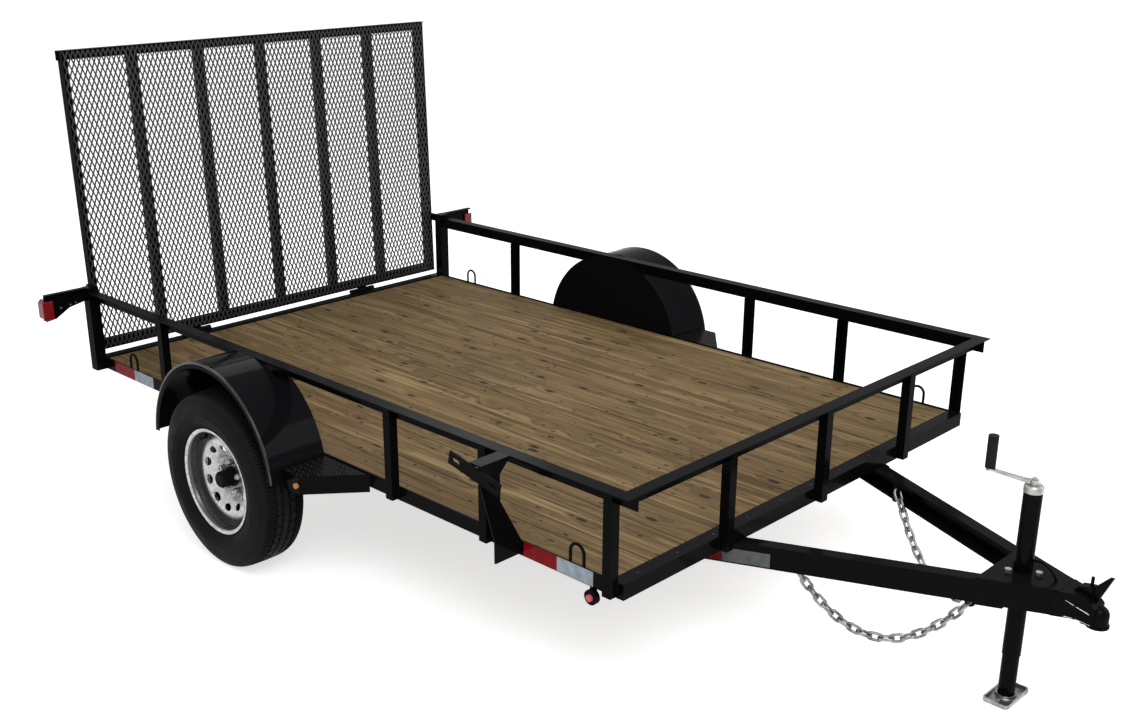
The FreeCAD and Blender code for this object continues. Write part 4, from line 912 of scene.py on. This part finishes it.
class TRAILER_OT_welds(bpy.types.Operator):
    """Runs weld beads where posts, rails and tongue meet"""
    bl_idname = "trailer.welds"
    bl_label = "Welds"

    def execute(self, context):
        draw = random.Random(5)
        welds = Shape()

        def bead(start, end, radius=0.0024, pitch=0.0035):
            count = max(4, int((end - start).length / pitch))
            radii = [radius * (1.0 + draw.uniform(-0.12, 0.18) + (0.14 if k % 2 else 0.0))
                     for k in range(count + 1)]
            radii[0] = radii[-1] = radius * 0.5
            welds.tube([start.lerp(end, k / count) for k in range(count + 1)], radii, 6)

        width, low, high = 33, 430, 476
        post_face, rail_face, rail_under, front_face = 968.5, 999, 726.5, -51.5
        for sign in (-1, 1):
            for x in (-107, -619, -1073, -2487):
                for edge in (x, x + width):
                    bead(at(edge, sign * post_face, low), at(edge, sign * post_face, high))
                bead(at(x + 2, sign * rail_face, rail_under),
                     at(x + width - 2, sign * rail_face, rail_under))
        for y in (-513, 0, 513):
            for edge in (y - width / 2, y + width / 2):
                bead(at(front_face, edge, low + 6), at(front_face, edge, high))
        length, clear, under, thick = 30, 1.0, 426.5, 0.003
        for sign in (-1, 1):
            for x in (-95.0, -60.0):
                y = (TONGUE_APEX_X - x) * math.tan(TONGUE_ANGLE) + clear
                end_y = y - length * math.sin(TONGUE_ANGLE)
                bead(at(x, sign * y, under), at(x + length, sign * end_y, under), thick)
        piece = welds.make("weld_beads", "paint", "chassis", smooth=70)
        return {"FINISHED"}


class TRAILER_OT_fender_edges(bpy.types.Operator):
    """Rolls the fenders' outer edges, and carries their inner panels up to the rail"""
    bl_idname = "trailer.fender_edges"
    bl_label = "Fender edges"

    def execute(self, context):
        roll_radius, roll_y, bar, steps = 0.3775, 1.1985, 0.0042, 72
        start, sweep = math.radians(5.0), math.radians(170.0)
        for label, sign in SIDES:
            path = []
            for k in range(steps + 1):
                turn = start + sweep * k / steps
                path.append((FENDER_CENTRE.x + roll_radius * math.cos(turn), sign * roll_y,
                             FENDER_CENTRE.z + roll_radius * math.sin(turn)))
            roll = Shape()
            roll.tube(path, bar, 10)
            piece = roll.make("fender_roll_" + label, "roll", "chassis", smooth=70)

        outer, top, drop, steps, sheet = 0.3798, 0.3720, 0.0410, 8, 0.0028
        outline = [(-0.0776, top), (0.0776, top)]
        for k in range(steps + 1):
            height = top - drop * k / steps
            outline.append((math.sqrt(outer ** 2 - height ** 2), height))
        outline += [(-x, z) for x, z in reversed(outline[2:])]
        rises = Shape()
        for face_y in (-0.9672, 0.9700):
            spot = (FENDER_CENTRE.x, face_y, FENDER_CENTRE.z)
            rises.prism(outline, 0, sheet, place=turned(QUARTER, "X", spot))
        piece = rises.make("fender_panel_rises", "fender", "chassis")
        return {"FINISHED"}


class TRAILER_OT_lamps(bpy.types.Operator):
    """Adds the corner lenses, the tail lamps' side lenses and their brackets' bolts"""
    bl_idname = "trailer.lamps"
    bl_label = "Lamps"

    def execute(self, context):
        dome = [
            (11.2, -0.4), (11.2, 6), (10.6, 8.4), (9, 9.4), (8.8, 9), (7, 10), (6.8, 9.5),
            (4, 10.3), (3.8, 9.8), (0, 10.4)]
        lenses = Shape()
        for sign in (-1, 1):
            spot = (at(-170, 0, 0).x, sign * (0.0120 - FRAME_LOW.y), FRAME_LOW.z - 0.0290)
            lenses.lathe(dome, 32, turned(-QUARTER * sign, "X", spot), closed=False)
        piece = lenses.make("corner_lenses", "rose", "chassis")

        bolt = [
            (0, -2), (8.6, -2), (9.2, -0.4), (9.2, 0.6), (6.8, 0.8), (6.8, 6.2), (9.4, 6.4),
            (9.4, 8), (7.2, 9.6), (0, 10)]
        stud = [(0, 9), (3.4, 9), (3.4, 11.2), (0, 11.8)]
        bracket_y, bracket_reach, bracket_z = 1.0140, 0.1810, 0.7920
        proud, wrap, thick, clear = 0.003, 0.044, 0.011, 0.005
        wraps = Shape()
        bolts = Shape()
        for label, sign in SIDES:
            low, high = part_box("tail_lamp_" + label)
            outer = sign * max(-low.y, high.y)
            y0, y1 = sorted((outer + sign * proud, outer - sign * wrap))
            front = high.x + clear
            wraps.box((front, y0, low.z + 0.004), (front + thick, y1, high.z - 0.005))
            for share in (0.24, 0.38, 0.62):
                spot = (front - 0.0060, sign * (bracket_y + bracket_reach * share),
                        bracket_z - 0.060 * (0.85 + 0.45 * share))
                place = turned(QUARTER, "Y", spot)
                bolts.lathe(bolt, 20, place, closed=False)
                bolts.lathe(stud, 12, place, 1, closed=False)
        piece = wraps.make("tail_lamp_side_lenses", "red", "chassis", bevel=0.003,
                           bevel_segments=3)
        piece = bolts.make("lamp_bracket_bolts", "hub zinc", "chassis")
        return {"FINISHED"}


class TRAILER_OT_coupler(bpy.types.Operator):
    """Adds painted highlights along the coupler's edges and bends the hook rod"""
    bl_idname = "trailer.coupler"
    bl_label = "Coupler edges and hook rod"

    def execute(self, context):
        # Thin zinc bars along the coupler's edges are painted highlights.
        edges = Shape()
        upper = ((819.7, 46.4, 409.0), (844.0, 35.4, 394.8), (868.0, 33.8, 387.3),
                 (886.5, 33.8, 381.9))
        lower = ((820.0, 46.4, 357.4), (844.0, 35.4, 354.6), (868.0, 33.8, 352.0),
                 (893.0, 33.8, 349.6))
        for sign in (-1, 1):
            for line in (upper, lower):
                edges.tube([at(x, sign * (y + 0.5), z) for x, y, z in line], 0.0010, 6)
        piece = edges.make("coupler_painted_edge_highlights", "zinc", "chassis")

        bent = ((692.6, 472.5), (700, 474.5), (711, 476), (723, 475), (736, 470), (748, 462),
                (757, 453), (764, 443), (769, 432.5))
        hook = Shape()
        hook.tube([at(x, 0, z) for x, z in bent], 0.0046, 12)
        piece = hook.make("bent_hook_rod", "paint", "chassis", smooth=60)
        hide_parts("hook_rod")
        return {"FINISHED"}


class TRAILER_OT_jack(bpy.types.Operator):
    """Forms the jack's crank arm and the foot's socket"""
    bl_idname = "trailer.jack"
    bl_label = "Jack arm and socket"

    def execute(self, context):
        arm = Shape()
        # The arm's X, half width, underside and top, from the jack's axis to the grip.
        stations = ((671, 10.0, 708.2, 721.0), (655, 10.5, 708.4, 720.5),
                    (635, 9.5, 709.5, 718.5), (590, 8.5, 711.0, 718.5),
                    (545, 8.0, 712.5, 719.5), (530, 8.5, 713.0, 720.0))
        arm.loft([[at(x, -half, low), at(x, half, low), at(x, half, high), at(x, -half, high)]
                  for x, half, low, high in stations])
        boss = [(0, 0), (13, 0), (13, 15), (11.8, 16.2), (0, 16.2)]
        nut = [(0, 0), (8, 0), (8, 5), (6.6, 6), (0, 6)]
        pin = [(0, 0), (11, 0), (11, 7), (7, 8.4), (7, 9.4), (0, 9.4)]
        for profile, sides, x, z in ((boss, 32, 666, 708), (nut, 6, 666, 724),
                                     (pin, 32, 528, 712)):
            arm.lathe(profile, sides, Matrix.Translation(at(x, 0, z)), closed=False)
        piece = arm.make("jack_arm", "zinc", "chassis", bevel=0.0012)
        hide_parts("jack_crank")

        low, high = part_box("jack_foot")
        middle = (low + high) / 2
        place = Matrix.Translation((middle.x, middle.y, low.z + 0.0050))
        collar = [(25.4, 0), (25.4, 8.8), (29.6, 8.8), (30.6, 7.8), (30.6, 2), (32.6, 0)]
        rib_width, reaches = 0.005, (0.0330, 0.0620, 0.0330, 0.0620)
        socket = Shape()
        socket.lathe(collar, 40, place)
        for turn, reach in zip(turns(4), reaches):
            rib = [(0.0290, 0.0), (reach, 0.0), (reach, 0.0030), (0.0300, 0.0082)]
            upright = turned(QUARTER, "X", (0.0, rib_width / 2, 0.0))
            socket.prism(rib, 0, rib_width, place=place @ turned(turn, "Z") @ upright)
        piece = socket.make("jack_socket", "chain", "jack_leg", bevel=0.0006)
        return {"FINISHED"}


def lay_floor(scene):
    """A pale floor that keeps the shadow and shows white elsewhere."""
    reach = 40.0
    mesh = bpy.data.meshes.new("floor")
    mesh.from_pydata([(-reach, -reach, 0), (reach, -reach, 0), (reach, reach, 0),
                      (-reach, reach, 0)], [], [(0, 1, 2, 3)])
    ground = bpy.data.objects.new("floor", mesh)
    scene.collection.objects.link(ground)
    pale = Finish("pale_floor")
    pale.surface(Base_Color=(0.80, 0.80, 0.80, 1.0), Roughness=0.9, Specular_IOR_Level=0.0)
    glow = pale.math("MULTIPLY", pale.seen_rays(), 0.66)
    shine = pale.node("Emission", {"Strength": glow}).outputs[0]
    both = pale.node("AddShader", {0: pale.shader.outputs[0], 1: shine}).outputs[0]
    pale.feed(pale.tree.nodes["Material Output"].inputs["Surface"], both)
    mesh.materials.append(pale.material)


def set_lights(scene):
    """Even light from all round, which the camera sees as white, and three soft lamps."""
    world = bpy.data.worlds.new("studio")
    scene.world = world
    world.use_nodes = True
    nodes = Nodes(world.node_tree)
    dim = nodes.tree.nodes["Background"]
    nodes.feed(dim.inputs["Color"], WHITE)
    nodes.feed(dim.inputs["Strength"], 0.55)
    bright = nodes.node("Background", {"Color": WHITE, "Strength": 1.0})
    mixed = nodes.node(
        "MixShader", {0: nodes.seen_rays(), 1: dim.outputs[0], 2: bright.outputs[0]})
    nodes.feed(nodes.tree.nodes["World Output"].inputs["Surface"], mixed.outputs[0])
    aim = Vector((0, 0, 0.5))
    for name, spot, power in (("key_light", (3.5, -3.0, 5.0), 170.0),
                              ("fill_light", (5.0, 3.5, 3.5), 70.0),
                              ("back_light", (-4.5, 2.5, 4.5), 90.0)):
        lamp = bpy.data.lights.new(name, "AREA")
        lamp.energy = power
        lamp.size = 3.0
        holder = bpy.data.objects.new(name, lamp)
        holder.location = spot
        holder.rotation_euler = (aim - Vector(spot)).to_track_quat("-Z", "Y").to_euler()
        scene.collection.objects.link(holder)


def set_camera(scene):
    """The photo's own view, from its focal length and optical middle in pixels."""
    width, height = 1131.0, 720.0
    focal, middle_u, middle_v = 1342.95, 514.36, 399.74
    yaw, pitch, roll = (math.radians(angle) for angle in (135.634, 20.123, -0.440))
    ahead = Vector((math.cos(yaw) * math.cos(pitch), math.sin(yaw) * math.cos(pitch),
                    -math.sin(pitch)))
    right = Vector((math.sin(yaw), -math.cos(yaw), 0.0))
    above = right.cross(ahead)
    level = right * math.cos(roll) + above * math.sin(roll)
    upright = -right * math.sin(roll) + above * math.cos(roll)
    lens = bpy.data.cameras.new("camera")
    lens.sensor_width = 36.0
    lens.lens = focal / width * lens.sensor_width
    lens.shift_x = (width / 2 - middle_u) / width
    lens.shift_y = (middle_v - height / 2) / width
    lens.clip_end = 200.0
    camera = bpy.data.objects.new("camera", lens)
    camera.matrix_world = facing(level, upright, -ahead, at(2157.3, -3556.8, 2282.8))
    scene.collection.objects.link(camera)
    scene.camera = camera


class TRAILER_OT_stage(bpy.types.Operator):
    """Sets the pale floor, soft lights and camera"""
    bl_idname = "trailer.stage"
    bl_label = "Stage"

    def execute(self, context):
        scene = context.scene
        lay_floor(scene)
        set_lights(scene)
        set_camera(scene)
        scene.view_settings.view_transform = "Standard"
        return {"FINISHED"}


STEPS = (TRAILER_OT_finishes, TRAILER_OT_planks, TRAILER_OT_gate_mesh, TRAILER_OT_tyres,
         TRAILER_OT_wheels, TRAILER_OT_chains, TRAILER_OT_tapes, TRAILER_OT_step_grip,
         TRAILER_OT_welds, TRAILER_OT_fender_edges, TRAILER_OT_lamps, TRAILER_OT_coupler,
         TRAILER_OT_jack, TRAILER_OT_stage)


class TRAILER_PT_panel(bpy.types.Panel):
    """Lists the steps that dress the trailer"""
    bl_idname = "TRAILER_PT_panel"
    bl_label = "Utility trailer"
    bl_space_type = "VIEW_3D"
    bl_region_type = "UI"
    bl_category = "Trailer"

    def draw(self, context):
        for settings in (context.scene.trailer_colours, context.scene.trailer_sizes):
            for name in settings.__annotations__:
                self.layout.prop(settings, name)
        for step in STEPS:
            self.layout.operator(step.bl_idname)


CLASSES = (TrailerColours, TrailerSizes) + STEPS + (TRAILER_PT_panel,)


def register():
    for entry in CLASSES:
        bpy.utils.register_class(entry)
    bpy.types.Scene.trailer_colours = bpy.props.PointerProperty(type=TrailerColours)
    bpy.types.Scene.trailer_sizes = bpy.props.PointerProperty(type=TrailerSizes)


def unregister():
    del bpy.types.Scene.trailer_sizes
    del bpy.types.Scene.trailer_colours
    for entry in reversed(CLASSES):
        bpy.utils.unregister_class(entry)


def main():
    register()
    for step in STEPS:
        getattr(bpy.ops.trailer, step.bl_idname.split(".")[1])()


if __name__ == "__main__":
    main()
